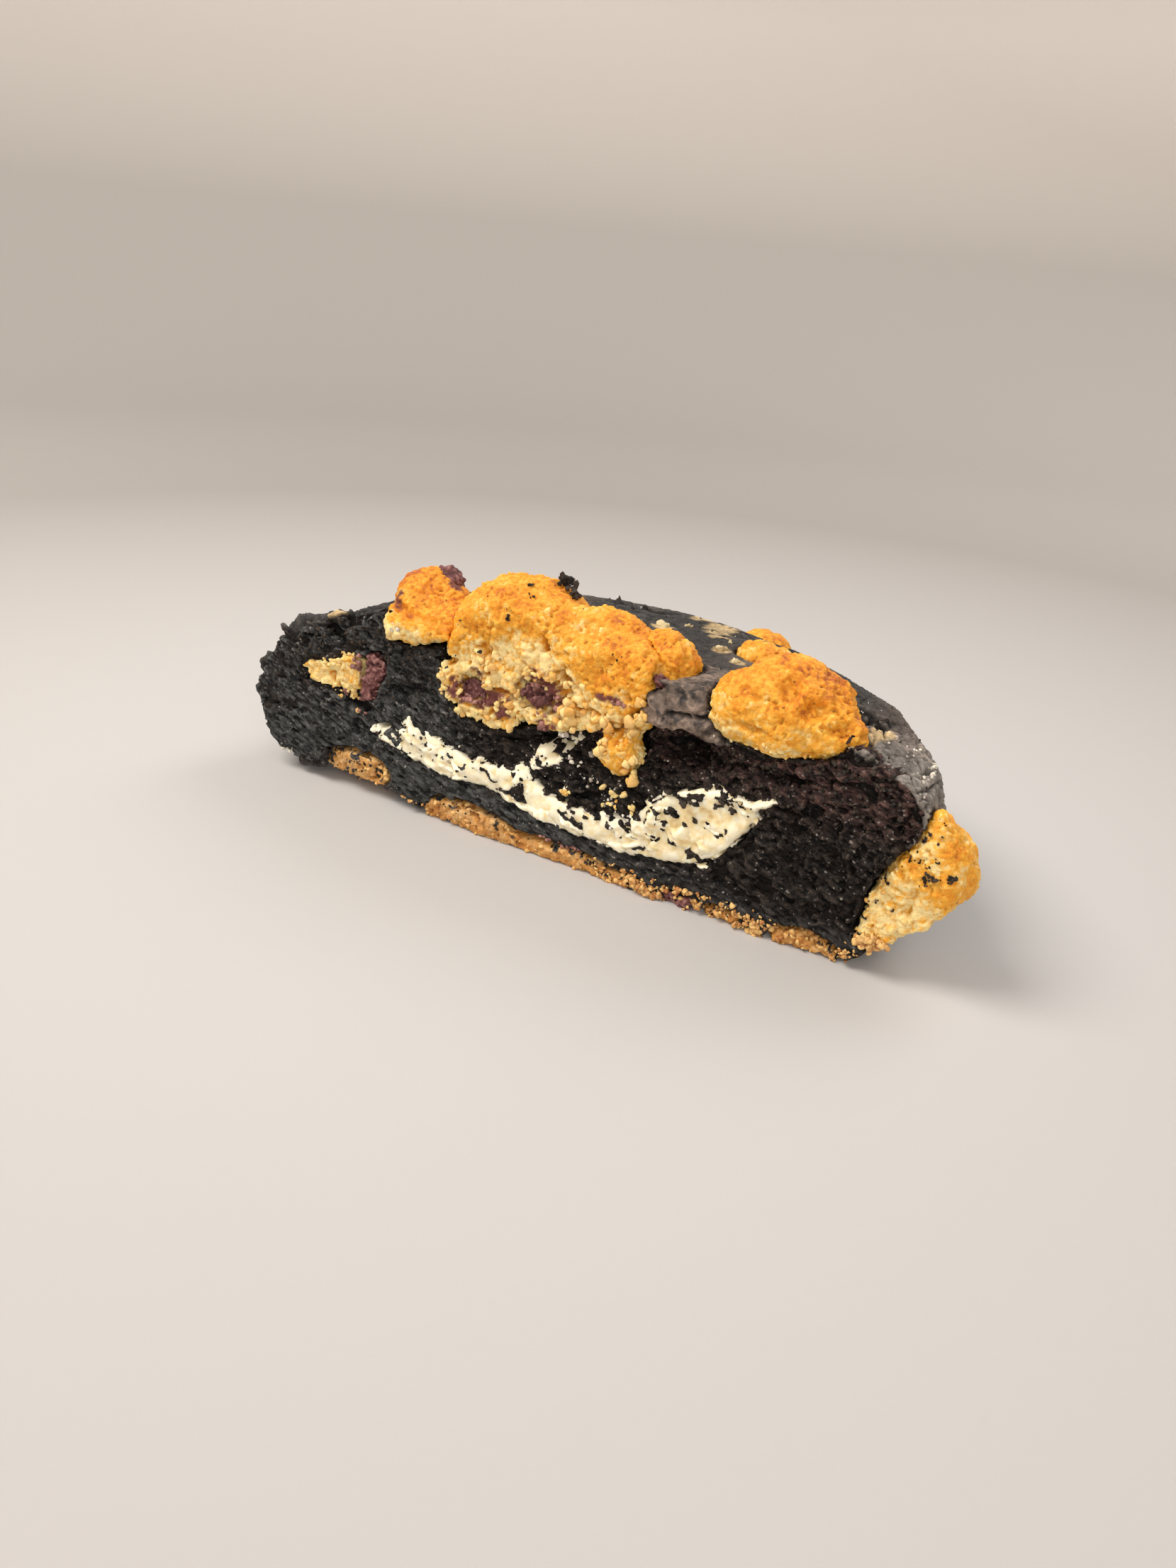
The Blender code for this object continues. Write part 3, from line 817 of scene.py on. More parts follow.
@dataclass
class Studio:
    """The sweep that the object stands on, the soft lights and the air's own light."""

    flat: float = 0.42  # radius of the flat floor, in metres
    bend: float = 0.3  # radius of the bend from floor to wall
    bend_steps: int = 12
    wall: float = 0.45  # height of the wall above the bend
    steps: int = 96  # faces round the sweep
    sky: str = "#F4F1EE"
    sky_strength: float = 0.5
    lamps: list[Lamp] = field(
        default_factory=lambda: [
            Lamp("key", (-0.24, -0.16, 0.42), 0.26, 2.3, "#FFFAF2"),
            Lamp("fill", (0.26, -0.4, 0.24), 0.3, 0.9, "#FFFFFF"),
            Lamp("back", (0.12, 0.34, 0.4), 0.3, 1.0, "#FFFFFF"),
        ]
    )

    def build(self) -> None:
        """Make the sweep, the lights and the sky."""
        profile = [(0.0, 0.0), (self.flat, 0.0)]
        for i in range(1, self.bend_steps + 1):
            turn = math.pi / 2 * i / self.bend_steps
            profile.append((self.flat + self.bend * math.sin(turn), self.bend * (1 - math.cos(turn))))
        profile.append((self.flat + self.bend, self.bend + self.wall))
        bm = bmesh.new()
        middle = bm.verts.new((0.0, 0.0, 0.0))
        rings = []
        for radius, height in profile[1:]:
            ring = []
            for i in range(self.steps):
                turn = 2 * math.pi * i / self.steps
                ring.append(bm.verts.new((radius * math.cos(turn), radius * math.sin(turn), height)))
            rings.append(ring)
        for i in range(self.steps):
            k = (i + 1) % self.steps
            bm.faces.new((middle, rings[0][i], rings[0][k]))
            for low, high in zip(rings, rings[1:]):
                bm.faces.new((low[i], high[i], high[k], low[k]))
        mesh = bpy.data.meshes.new("sweep")
        bm.to_mesh(mesh)
        bm.free()
        mesh.shade_smooth()
        mesh.materials.append(SweepPaper().build())
        placed("sweep", mesh)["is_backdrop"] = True
        for lamp in self.lamps:
            lamp.create()
        world = bpy.data.worlds.new("studio_air")
        world.use_nodes = True
        air = world.node_tree.nodes["Background"]
        air.inputs["Color"].default_value = linear(self.sky)
        air.inputs["Strength"].default_value = self.sky_strength
        bpy.context.scene.world = world
        bpy.context.scene.view_settings.view_transform = "Standard"
        LOG.info("studio: %d lights", len(self.lamps))


# ---------------------------------------------------------------- the cookie


def fibres(points: Array, slope: float, along: float) -> Array:
    """Squeeze space along one direction of the cut, so that noise in it comes out as long threads.

    Args:
        points: places in millimetres, one a row.
        slope: the threads' angle above +X, in degrees.
        along: how many times as long as wide they are.

    Returns:
        The squeezed places.
    """
    turn = math.radians(slope)
    x, z = points[:, 0], points[:, 2]
    thread = (x * math.cos(turn) + z * math.sin(turn)) / along
    side = z * math.cos(turn) - x * math.sin(turn)
    return np.stack([thread, points[:, 1], side], axis=1)


class FrontGrid:
    """A grid of small squares in front of the cut, to lay a sheet over what stands there."""

    START = 30.0  # how far in front of the cut the rays start, in millimetres
    FILL_ROUNDS = 12  # how far the depths spread over what no ray hit
    GIVE = 0.35  # how far a crest may give way in one round of evening, in millimetres

    def __init__(self, across: tuple[float, float], up: tuple[float, float], cell: float) -> None:
        """Set the grid out.

        Args:
            across: where it starts and ends along X.
            up: where it starts and ends along Z.
            cell: the squares' width.
        """
        self.cell = cell
        self.x, self.z = np.meshgrid(np.arange(*across, cell), np.arange(*up, cell))
        self.flat = np.stack([self.x.ravel(), np.full(self.x.size, CUT_Y), self.z.ravel()], axis=1)

    def cast(self, trees: list[BVHTree], wanted: Array | None = None) -> tuple[Array, Array, Array]:
        """Look at what stands behind each point of the grid.

        Args:
            trees: the meshes that may stand there.
            wanted: the points to look from, or all.

        Returns:
            How far back the first surface is, which mesh it belongs to (-1 for none), and how squarely it
            faces the front (-1 for fully), each in the grid's own layout.
        """
        depth = np.full(len(self.flat), np.nan)
        first = np.full(len(self.flat), -1)
        facing = np.zeros(len(self.flat))
        ahead = Vector((0.0, 1.0, 0.0))
        chosen = range(len(self.flat)) if wanted is None else np.flatnonzero(wanted)
        for i in chosen:
            origin = Vector((self.flat[i, 0], CUT_Y - self.START, self.flat[i, 2]))
            found = enumerate(tree.ray_cast(origin, ahead) for tree in trees)
            hits = [(hit[3], k, hit[1].y) for k, hit in found if hit[0]]
            if hits:
                away, first[i], facing[i] = min(hits)
                depth[i] = origin.y + away
        return tuple(values.reshape(self.x.shape) for values in (depth, first, facing))

    @staticmethod
    def spread(values: Array, rounds: int) -> Array:
        """Blur a grid of values by taking in the four neighbours, again and again."""
        for _ in range(rounds):
            edge = np.pad(values, 1, mode="edge")
            values = (2 * values + edge[:-2, 1:-1] + edge[2:, 1:-1] + edge[1:-1, :-2] + edge[1:-1, 2:]) / 6
        return values

    def evened(self, depth: Array, rounds: int) -> Array:
        """Fill what was missed from the neighbours, and level grooves but keep what stands out."""
        known = np.isfinite(depth)
        share = self.spread(known.astype(float), self.FILL_ROUNDS)
        filled = self.spread(np.where(known, depth, 0.0), self.FILL_ROUNDS) / np.maximum(share, 1e-6)
        depth = np.where(known, depth, np.where(share > 1e-3, filled, CUT_Y))
        for _ in range(rounds):
            depth = np.minimum(self.spread(depth, 1), depth + self.GIVE)
        return depth

    def sheet(self, name: str, keep: Array, depth: Array) -> Skin:
        """Make a sheet of the kept squares.

        Args:
            name: the new piece's name.
            keep: which of the grid's points are in it.
            depth: where each point lies along Y.

        Returns:
            The sheet, still in millimetres.
        """
        cells = keep[:-1, :-1] & keep[1:, :-1] & keep[:-1, 1:] & keep[1:, 1:]
        used = np.zeros(keep.shape, bool)
        for part in (used[:-1, :-1], used[1:, :-1], used[:-1, 1:], used[1:, 1:]):
            part |= cells
        number = np.full(keep.shape, -1)
        number[used] = np.arange(used.sum())
        corners = (number[:-1, :-1], number[:-1, 1:], number[1:, 1:], number[1:, :-1])
        faces = np.stack([corner[cells] for corner in corners], axis=1)
        points = np.stack([self.x[used], depth[used], self.z[used]], axis=1)
        return Skin.of(name, points, faces.tolist())


@dataclass
class CrumbBody:
    """The black cookie itself: domed crust, flat base and the ground of the open cut."""

    voxel: float = 0.62
    set_back: float = 1.0  # how far the cut's ground lies behind its torn face
    # the crust's edge on the cut (x, z), where the dome sags forward between two chunks
    lip: tuple = (
        (10.4, 31.0), (11.6, 24.4), (13.4, 22.6), (17.2, 22.4), (20.6, 22.3), (24.6, 22.4), (27.6, 31.0),
    )
    # hollows: middle (x, z), half widths and depth, first the one under the big chunk and those under the lip
    hollows: tuple = (
        (-2.5, 16.2, 6.5, 1.7, 2.0), (17.6, 19.4, 6.0, 1.8, 2.2), (14.0, 16.8, 2.5, 1.6, 1.2),
        (-22.0, 17.8, 3.2, 1.0, 0.9), (31.0, 20.4, 6.5, 1.1, 1.0), (4.5, 11.6, 6.0, 1.6, 0.7),
        (-31.5, 13.2, 3.5, 0.9, 0.6),
    )
    ground: BVHTree | None = None
    cut: Array | None = None
    skin: Skin | None = None

    def build(self) -> None:
        """Lay the skin, shape crust, cut and base, and note the zones."""
        skin = self.skin = Skin.over("black_crumb", "crumb_body", self.voxel)
        cut_share = self.cut_share(skin.points(), skin.smoothed(skin.normals(), 3))
        skin.smooth(8, 0.5 * (1 - 0.6 * cut_share))
        self.ground = skin.tree()
        skin.refine(self._near_lens)
        points, facing = skin.points(), skin.smoothed(skin.normals(), 4)
        over_lip = self.over_lip(points)
        below_lip = smoothstep(0.35, -0.35, over_lip)
        cut = self.cut_share(points, facing) * below_lip
        base = smoothstep(1.2, 0.5, points[:, 2]) * smoothstep(-0.3, -0.7, facing[:, 2])
        torn = self._torn_crust(points)
        relief = self._crust_relief(points) + torn * (1.4 * Noise(Seed.BROKEN_LUMPS).lumps(points, 1.7) - 0.8)
        relief *= (1 - cut) * (1 - base)
        relief -= (self.set_back + self.hollow_depth(points)) * cut
        relief += self._crags(points) * (1 - base)
        relief += self._fold(points, over_lip)
        points = skin.push(relief)
        behind = smoothstep(CUT_Y + 4.0, CUT_Y + CUT_DEPTH, points[:, 1])
        pockets = self.inside_share(points) * np.maximum(below_lip, behind)
        self.cut = np.clip(np.max([cut, pockets, torn], axis=0), 0, 1)
        self._note_zones(skin, self.cut)

    def meet(self, chunks: BVHTree) -> None:
        """Note that the crust is dark crumb in the chunks' pockets and along their feet, in painted shade."""
        inner = np.maximum(self.cut, closeness(self.skin, chunks, 0.8, 0.3))
        self.skin.note("cut", inner)
        # painted shade: the hollow mark, which darkens the colour, is raised along the chunks' feet
        self.skin.note("hollow", np.clip(self.skin.hollows(4, 0.26) + 0.4 * inner, -1, 1))

    def dress(self, material: bpy.types.Material) -> None:
        """Finish the skin in place of the CAD node."""
        self.skin.finish(material, Slot.CRUMB, "crumb_body")

    @staticmethod
    def inside_share(points: Array) -> Array:
        """How surely a point lies in a pocket of the crumb, and not on the outer crust."""
        x, y, z = points.T
        low, high = points.min(axis=0), points.max(axis=0)
        half_wide, middle = (high[0] - low[0]) / 2, (high[0] + low[0]) / 2
        out = np.hypot(x - middle, y - CUT_Y) / half_wide
        rise = np.abs(2 * z / high[2] - 1)
        at_end = smoothstep(34.0, 37.0, x) * smoothstep(15.5, 13.5, z)
        at_end *= smoothstep(CUT_Y + CUT_DEPTH, CUT_Y + 4.0, y)
        return np.maximum(at_end, smoothstep(0.68, 0.56, out**2.6 + rise**2.6))

    @staticmethod
    def _near_lens(middles: Array, normals: Array) -> Array:
        """The crust that the picture shows from close by, where the skin is finer."""
        right = (middles[:, 0] > -4.0) & (middles[:, 1] < 4.0) & (middles[:, 2] > 15.0)
        rim = (middles[:, 1] < CUT_Y + 4.0) & (normals[:, 1] > -0.6)
        return (right | rim) & (normals[:, 2] > -0.2)

    @staticmethod
    def cut_share(points: Array, facing: Array) -> Array:
        """How much each point belongs to the cut: it looks forward and lies near the plane of the cut."""
        forward = smoothstep(-0.35, -0.7, facing[:, 1])
        near = smoothstep(CUT_Y + 7.5, CUT_Y + 5.5, points[:, 1])
        return forward * near

    def over_lip(self, points: Array) -> Array:
        """Height above the crust's sagging edge on the cut, with an uneven line."""
        at, height = np.array(self.lip).T
        uneven = 0.9 * Noise(Seed.LIP).layers(points, 1.8, 3)
        return points[:, 2] - np.interp(points[:, 0], at, height) + uneven

    def hollow_depth(self, points: Array) -> Array:
        """How deep the larger hollows of the cut are at each point."""
        depth, noise = np.zeros(len(points)), Noise(Seed.TEAR)
        for x, z, wide, high, deep in self.hollows:
            spot = bump_at(points, (x, CUT_Y, z), (wide, 6.0, high))
            depth += deep * smoothstep(0.15, 0.85, spot * (1 + 0.5 * noise.soft(points, 2.5)))
        return depth

    @staticmethod
    def _fold(points: Array, over_lip: Array) -> Array:
        """The crust that sags over the cut between two chunks, with a crack along it."""
        x, y, z = points.T
        front = smoothstep(CUT_Y + 3.5, CUT_Y + 1.0, y)
        along = smoothstep(11.5, 14.5, x) * smoothstep(25.5, 22.5, x)
        swell = smoothstep(-0.2, 0.9, over_lip) * smoothstep(6.0, 2.4, over_lip)
        noise = Noise(Seed.FOLD)
        line = 25.2 + 0.12 * (x - 17.0) + 0.5 * noise.layers(points, 2.0, 2)
        crack = np.exp(-(((z - line) / 0.28) ** 2)) * smoothstep(15.5, 17.0, x)
        ridges = 0.4 * noise.lumps(fibres(points, -20.0, 2.6), 2.2) + 0.2 * noise.layers(points, 1.0, 2)
        return front * along * (swell * (1.3 + ridges) - 0.9 * crack)

    @staticmethod
    def _crags(points: Array) -> Array:
        """Ragged steps along the edges of the cut, most at its left end."""
        noise = Noise(Seed.CRAGS)
        rim = smoothstep(CUT_Y + CUT_DEPTH, CUT_Y + 2.0, points[:, 1])
        rim *= smoothstep(-24.0, -42.0, points[:, 0])
        steps = smoothstep(-0.08, 0.1, noise.layers(points * np.array([0.6, 1.0, 1.0]), 5.0, 3, 0.6))
        corner = 0.8 * bump_at(points, (-45.5, CUT_Y, 21.5), (5.0, 6.0, 4.0))
        return rim * (1.6 * steps + 0.8 * noise.layers(points, 2.0, 3, 0.6) - 0.8 + corner)

    @staticmethod
    def _torn_crust(points: Array) -> Array:
        """Where the crust behind the chunks broke open and shows the dark crumb."""
        noise = Noise(Seed.BROKEN_CRUST).layers(points, 2.0, 3, 0.7)
        spots = (
            ((37.0, -5.4, 25.6), (2.8, 6.0, 3.0)), ((-5.5, 13.6, 26.6), (6.0, 3.4, 3.0)),
            ((39.0, -19.4, 24.6), (4.4, 2.6, 2.4)),
        )
        return smoothstep(0.4, 0.6, bumps_at(points, spots) * (1 + 0.8 * noise))

    @staticmethod
    def _crust_relief(points: Array) -> Array:
        """The baked crust: low swells, wrinkles along the rim, cracks and, at the right end, a crackle."""
        x, y, z = points.T
        swell, wrinkle, crack = Noise(Seed.CRUST_SWELL), Noise(Seed.CRUST_WRINKLE), Noise(Seed.CRUST_CRACK)
        turn = np.arctan2(y - CUT_Y, x)
        around = np.stack([turn * 18.0, np.hypot(x, y - CUT_Y), z], axis=1)
        low = 0.3 * swell.layers(points, 7.0, 2)
        sagging = bump_at(points, (17.0, CUT_Y + 2.0, 26.0), (9.0, 9.0, 7.0))
        folds = -0.4 * (1 - 0.3 * sagging) * np.abs(wrinkle.layers(around, 3.2, 3, 0.65))
        bent = points + 0.9 * wrinkle.soft(points, 2.0)[:, None]
        where = smoothstep(-0.2, 0.4, swell.soft(points, 12.0))
        lines = -0.7 * crack.cracks(bent, 6.0, 0.35) * where
        crackle = -0.3 * crack.cracks(bent, 2.6, 0.22) * smoothstep(32.0, 42.0, x)
        specks = 0.18 * crack.layers(points, 1.2, 3, 0.65)
        return low + folds + lines + crackle + specks

    @staticmethod
    def _note_zones(skin: Skin, cut: Array) -> None:
        """Note for the material where the crust is pale or brown, and where dough smeared it."""
        points = skin.points()
        noise = Noise(Seed.ZONES)
        wander = noise.layers(points, 3.0, 3)
        # the crust is paler towards the right end: partly a drier crackled crust, partly painted sheen of the
        # sky
        pale = smoothstep(30.0, 44.0, points[:, 0] - 0.35 * (points[:, 1] - CUT_Y) + 3 * wander)
        streaks = noise.layers(fibres(points, -40.0, 2.6), 0.9, 3, 0.7)
        brown = bump_at(points, (16.5, CUT_Y + 1.0, 26.0), (9.0, 8.0, 8.0))
        brown *= 0.8 + 0.9 * wander + 1.9 * streaks
        brown = np.maximum(brown, 0.35 * smoothstep(0.0, 0.6, noise.soft(points, 14.0)))
        ragged = noise.layers(points * np.array([0.7, 0.7, 1.0]), 1.6, 3, 0.7)
        spots = (
            ((7.6, 14.2, 26.0), (2.4, 5.2, 3.0)), ((9.6, 8.6, 27.0), (1.8, 3.6, 3.0)),
            ((11.6, 4.0, 28.0), (1.4, 2.0, 2.0)), ((3.5, 16.0, 26.0), (1.6, 3.2, 3.0)),
            ((39.6, -10.5, 25.5), (1.5, 6.5, 2.5)), ((38.4, -17.5, 26.5), (1.3, 3.0, 2.5)),
            ((-35.5, -19.6, 25.5), (2.6, 1.8, 1.5)), ((4.2, 1.0, 28.6), (1.9, 1.6, 1.8)),
            ((14.8, -2.2, 28.3), (1.6, 1.4, 1.6)), ((18.6, -5.4, 28.2), (1.3, 1.2, 1.4)),
        )
        skin.note("pale", pale)
        skin.note("brown", brown)
        skin.note("smear", smoothstep(0.42, 0.56, bumps_at(points, spots) * (1 + 0.6 * ragged)) * (1 - cut))


@dataclass
class CutFace:
    """The torn face of the cut: a sheet over the body, which frays over the edges of what is baked in."""

    cell: float = 0.19
    across: tuple[float, float] = (-53.6, 52.0)
    up: tuple[float, float] = (0.0, 30.5)
    band_top: float = 6.5  # height of the smooth band low on the cut
    sunk: float = 1.9  # how far its edges dive into the body
    end_chunk: float = 38.0  # from where on the dough beside it is the chunk at the right end
    skin: Skin | None = None

    def build(self, body: CrumbBody, under: list[BVHTree], beside: list[BVHTree]) -> None:
        """Lay the sheet over the cut and tear it.

        Args:
            body: the cookie.
            under: what the sheet covers besides the body.
            beside: what it leaves free.
        """
        grid = FrontGrid(self.across, self.up, self.cell)
        depth, first, facing = grid.cast([body.ground, *under, *beside])
        below_lip = body.over_lip(grid.flat).reshape(depth.shape) < -0.1
        covered = (first >= 0) & (first <= len(under)) & (depth < CUT_Y + CUT_DEPTH)
        covered &= (facing < -0.3) & below_lip
        closed = grid.spread(grid.spread(covered.astype(float), 5) > 0.3, 5) > 0.7
        ragged = Noise(Seed.FACE_EDGE).layers(grid.flat, 1.9, 3, 0.8).reshape(depth.shape)
        keep = grid.spread(closed.astype(float), 8) + 0.4 * ragged > 0.5
        # it frays far over the strips that lay on the tray and over the chunk at the right end
        strips = (first > len(under)) & ((grid.z < self.band_top) | (grid.x > self.end_chunk))
        frayed = Noise(Seed.FRAY).layers(grid.flat, 1.1, 3, 0.8).reshape(depth.shape)
        frayed = strips & (grid.spread(closed.astype(float), 160) + 1.4 * frayed > 0.5)
        keep |= frayed
        ground = grid.evened(np.where(covered, depth, np.nan), 8)
        points = np.stack([grid.x.ravel(), ground.ravel(), grid.z.ravel()], axis=1)
        band = smoothstep(self.band_top + 2.0, self.band_top - 2.0, self._band_height(points))
        dragged = self._dragged(points)
        hollow = body.hollow_depth(points)
        relief = self._relief(points, band, dragged) - hollow
        inner = smoothstep(0.55, 0.95, grid.spread(keep.astype(float), 5))
        front = ground - relief.reshape(depth.shape) + self.sunk * (1 - inner)
        flake = smoothstep(0.4, 0.8, grid.spread(keep.astype(float), 2))
        front = np.where(frayed, np.minimum(front, depth + 0.12 - 0.32 * flake), front)
        skin = grid.sheet("torn_crumb", keep, front)
        self._note_zones(skin, body.hollow_depth(skin.points()))
        self.skin = skin

    def dress(self, material: bpy.types.Material) -> None:
        """Finish the sheet."""
        self.skin.finish(material, Slot.CRUMB)

    @staticmethod
    def _band_height(points: Array) -> Array:
        """Height above the base, lowered by noise, so that the band's upper edge wanders."""
        return points[:, 2] + 1.8 * Noise(Seed.BAND).soft(points, 8.0) + 0.07 * points[:, 0]

    @staticmethod
    def _dragged(points: Array) -> Array:
        """Where the blade dragged the left half of the cut: below the wedge and beside it."""
        x, _, z = points.T
        left = smoothstep(-8.0, -18.0, x)
        low = smoothstep(22.0, 14.5, z + 1.5 * Noise(Seed.DRAG).soft(points, 6.0))
        return left * np.maximum(low, smoothstep(-30.0, -24.0, x) * 0.8)

    @staticmethod
    def _relief(points: Array, band: Array, dragged: Array) -> Array:
        """The torn crumb: ledges, clumps and ragged pits, drawn out where the blade dragged it."""
        noise, finer, holes = Noise(Seed.TEAR), Noise(Seed.TEAR_FINE), Noise(Seed.TEAR_HOLES)
        thread = fibres(points, -14.0, 1.7)
        torn = 0.7 * smoothstep(-0.12, 0.12, noise.layers(points, 6.5, 3, 0.6)) - 0.3
        short = fibres(points, -26.0, 2.0)
        clumps = 0.4 * noise.lumps(thread, 2.3) + 0.34 * finer.lumps(short, 0.95)
        torn += clumps + 0.22 * holes.lumps(short, 0.5)
        torn -= 1.7 * smoothstep(0.1, 0.36, holes.layers(thread, 2.6, 3, 0.6))
        torn -= 0.8 * smoothstep(0.08, 0.36, finer.layers(thread, 1.1, 2))
        long_thread = fibres(points, -28.0, 2.4)
        drag = 0.3 * noise.layers(points, 4.0, 2) + 0.34 * finer.lumps(long_thread, 1.5)
        drag += 0.2 * holes.lumps(long_thread, 0.7)
        drag -= 1.1 * smoothstep(0.16, 0.42, holes.layers(long_thread, 1.6, 3, 0.65))
        low_thread = fibres(points, -10.0, 3.0)
        smooth = 0.2 * finer.lumps(low_thread, 1.1) + 0.14 * noise.soft(points, 3.0)
        smooth += 0.1 * holes.lumps(low_thread, 0.55)
        smooth -= 0.55 * smoothstep(0.24, 0.48, holes.layers(low_thread, 1.1, 2))
        relief = torn * (1 - dragged) + drag * dragged
        return relief * (1 - band) + smooth * band

    def _note_zones(self, skin: Skin, deep: Array) -> None:
        """Note for the material where the crumb is slate or warm, and the pits that it paints in shade."""
        points = skin.points()
        wander = Noise(Seed.ZONES).layers(points, 3.0, 3)
        band = smoothstep(self.band_top + 2.0, self.band_top - 2.0, self._band_height(points))
        right = smoothstep(-2.0, 10.0, points[:, 0])
        slate = np.clip(band * (1 - 0.5 * right) + 0.95 * self._dragged(points), 0, 1)
        # the left end is noted as slate as well: partly its own grey, partly painted light from the left
        left = smoothstep(-14.0, -26.0, points[:, 0] + 2 * wander)
        warm = smoothstep(15.0, 21.0, points[:, 2] + 3 * wander) * right
        skin.note("cut", np.ones(len(points)))
        skin.note("band", np.maximum(slate, 0.85 * left))
        skin.note("warm", warm)
        # painted shade: the pits' mark darkens the crumb's colour, the larger hollows most
        dents = 0.8 * skin.hollows(7, 0.3) + 0.5 * skin.hollows(26, 0.8) + 0.35 * deep
        skin.note("hollow", np.clip(dents, -1, 1))


Share = Callable[[Array, Array], Array]  # takes points and their normals, and gives a number for each


def baked_above(*border: tuple[float, float], blend: float = 1.0, least: float = 0.0) -> Share:
    """Browning above a line along the cut, and pale cut dough below it.

    Args:
        border: places (x, z) of the line, from left to right.
        blend: how wide the change from one to the other is.
        least: the browning below the line.

    Returns:
        A function that takes points and their normals, and gives the browning from 0 to 1.
    """
    at, height = np.array(border).T

    def bake(points: Array, normals: Array) -> Array:
        """Give the browning."""
        x, y, z = points.T
        line = np.interp(x, at, height)
        behind = y - CUT_Y
        up = z - line + 1.6 * np.maximum(behind - 1.5, 0)
        up += 1.1 * blend**0.5 * Noise(Seed.BROWNING).layers(points, 2.2, 3, 0.6)
        return least + (1 - least) * smoothstep(-0.6 * blend, blend, up)

    return bake


def evenly(share: float) -> Share:
    """The same number everywhere."""
    return lambda points, normals: np.full(len(points), share)


@dataclass
class DoughChunk:
    """One chunk of golden cookie dough: its node, how fine its skin is, and where it browned."""

    node: str
    name: str
    voxel: float
    bake: Share
    seed: int
    grain_mm: float = 1.5
    coarse: float = 0.75  # height of the clumps where the dough is cut
    sandy: float = 0.24  # height of the grains on its skin
    lumpy: float = 0.3  # height of the skin's lumps
    swell: float = 0.15
    pits: float = 1.4  # depth of the holes where it is cut
    ledge: float = 0.35  # how far the skin stands over the cut dough
    browning: float = 1.0
    stains: tuple = ()  # chocolate in it: middles and reaches
    dents: tuple = ()  # holes in it: middles, reaches and depths
    toasts: tuple = ()  # darker or paler spots: middles, reaches and the change
    brown_top: float = 0.1
    skin: Skin | None = None

    def build(self) -> None:
        """Lay the skin and shape its lumps and grains."""
        skin = Skin.over(self.name, self.node, self.voxel)
        skin.smooth(8, 0.5)
        points, normals = skin.points(), skin.normals()
        raw = 1 - self.bake(points, normals)
        lumps, grain, fine = Noise(self.seed), Noise(self.seed + 50), Noise(self.seed + 90)
        bent = points + 0.55 * fine.drift(points, 1.6, 2)
        big, big_tone = grain.grains(bent, self.grain_mm)
        small, small_tone = fine.grains(bent, 0.42 * self.grain_mm)
        away = self.swell + self.ledge * (0.6 - raw) + 0.4 * lumps.layers(points, 6.5, 2)
        away += self.lumpy * (1 - 0.4 * raw) * lumps.lumps(points, 5.6)
        away += self.coarse * raw * (big - 0.4) + 0.35 * self.coarse * raw * (small - 0.3)
        away -= self.pits * raw * smoothstep(0.2, 0.5, grain.layers(points, 3.0, 3, 0.6))
        baked = fine.layers(points, 1.0, 3, 0.75) + 0.8 * (small - 0.3)
        away += self.sandy * (1 - raw) * baked
        craggy = smoothstep(-0.3, 0.4, lumps.soft(points + 60.0, 6.0))
        away += (1 - raw) * craggy * (0.2 * fine.lumps(bent, 2.0) + 0.2 * grain.lumps(bent, 0.9))
        away -= 0.5 * (1 - raw) * smoothstep(0.4, 0.65, grain.layers(points, 3.6, 3, 0.6))
        away -= 0.4 * (1 - raw) * smoothstep(0.36, 0.6, fine.layers(points + 20.0, 1.1, 2))
        for centre, reach, depth in self.dents:
            dent = bump_at(points, centre, reach) * (1 + 0.4 * fine.soft(points, 1.0))
            away -= depth * smoothstep(0.2, 0.8, dent)
        points = skin.push(away)
        hollow = skin.hollows(6, 0.26)
        browned = (0.42 * (1 - raw) + 0.1) * self.browning
        top = skin.smoothed(skin.normals(), 6)[:, 2]
        browned += self.brown_top * (1 - raw) * smoothstep(0.0, 0.9, top)
        browned += 0.26 * (1 - raw) * lumps.layers(points, 4.5, 3)
        sand = 0.16 * (small_tone - 0.5) + 0.2 * (big_tone - 0.5)
        browned += raw * (sand + 0.12 * lumps.layers(points, 3.5, 2))
        # painted shade: the pits of the cut dough are painted browner
        browned += 0.4 * raw * smoothstep(0.0, 0.9, hollow)
        for centre, reach, change in self.toasts:
            spot = bump_at(points, centre, reach) * (1 + 0.5 * fine.layers(points, 1.6, 2))
            browned += change * smoothstep(0.2, 0.9, spot)
        stain = bumps_at(points, self.stains) * (1 + 0.9 * fine.layers(points, 1.3, 3, 0.7))
        skin.note("bake", browned)
        skin.note("stain", smoothstep(0.36, 0.66, stain))
        skin.note("hollow", hollow)
        self.skin = skin

    def dress(self, material: bpy.types.Material) -> None:
        """Finish the skin in place of the CAD node."""
        self.skin.finish(material, Slot.DOUGH, self.node)


@dataclass
class ChocolatePiece:
    """One piece of melted chocolate that shows in the crumb or in the dough."""

    node: str
    name: str
    seed: int
    swell: float = 0.1
    voxel: float = 0.18
    rough: float = 0.5
    skin: Skin | None = None

    def build(self) -> None:
        """Lay the skin and roughen it."""
        skin = Skin.over(self.name, self.node, self.voxel)
        skin.smooth(4)
        points = skin.points()
        noise, fine = Noise(self.seed), Noise(self.seed + 20)
        grains, _ = fine.grains(points, 0.8)
        away = self.swell + self.rough * (grains - 0.4) + 1.3 * self.rough * noise.layers(points, 1.9, 3, 0.6)
        skin.push(away - 0.5 * smoothstep(0.25, 0.5, fine.layers(points, 1.5, 2)))
        skin.note("hollow", skin.hollows(4, 0.2))
        self.skin = skin

    def dress(self, material: bpy.types.Material) -> None:
        """Finish the skin in place of the CAD node."""
        self.skin.finish(material, Slot.CHOCOLATE, self.node)


# how far each piece of chocolate stands out of its pocket: those in cut dough are broken off deeper
CHOCOLATE_SWELLS = (0.1, -0.35, -0.3, -0.45, 0.1, 0.1)


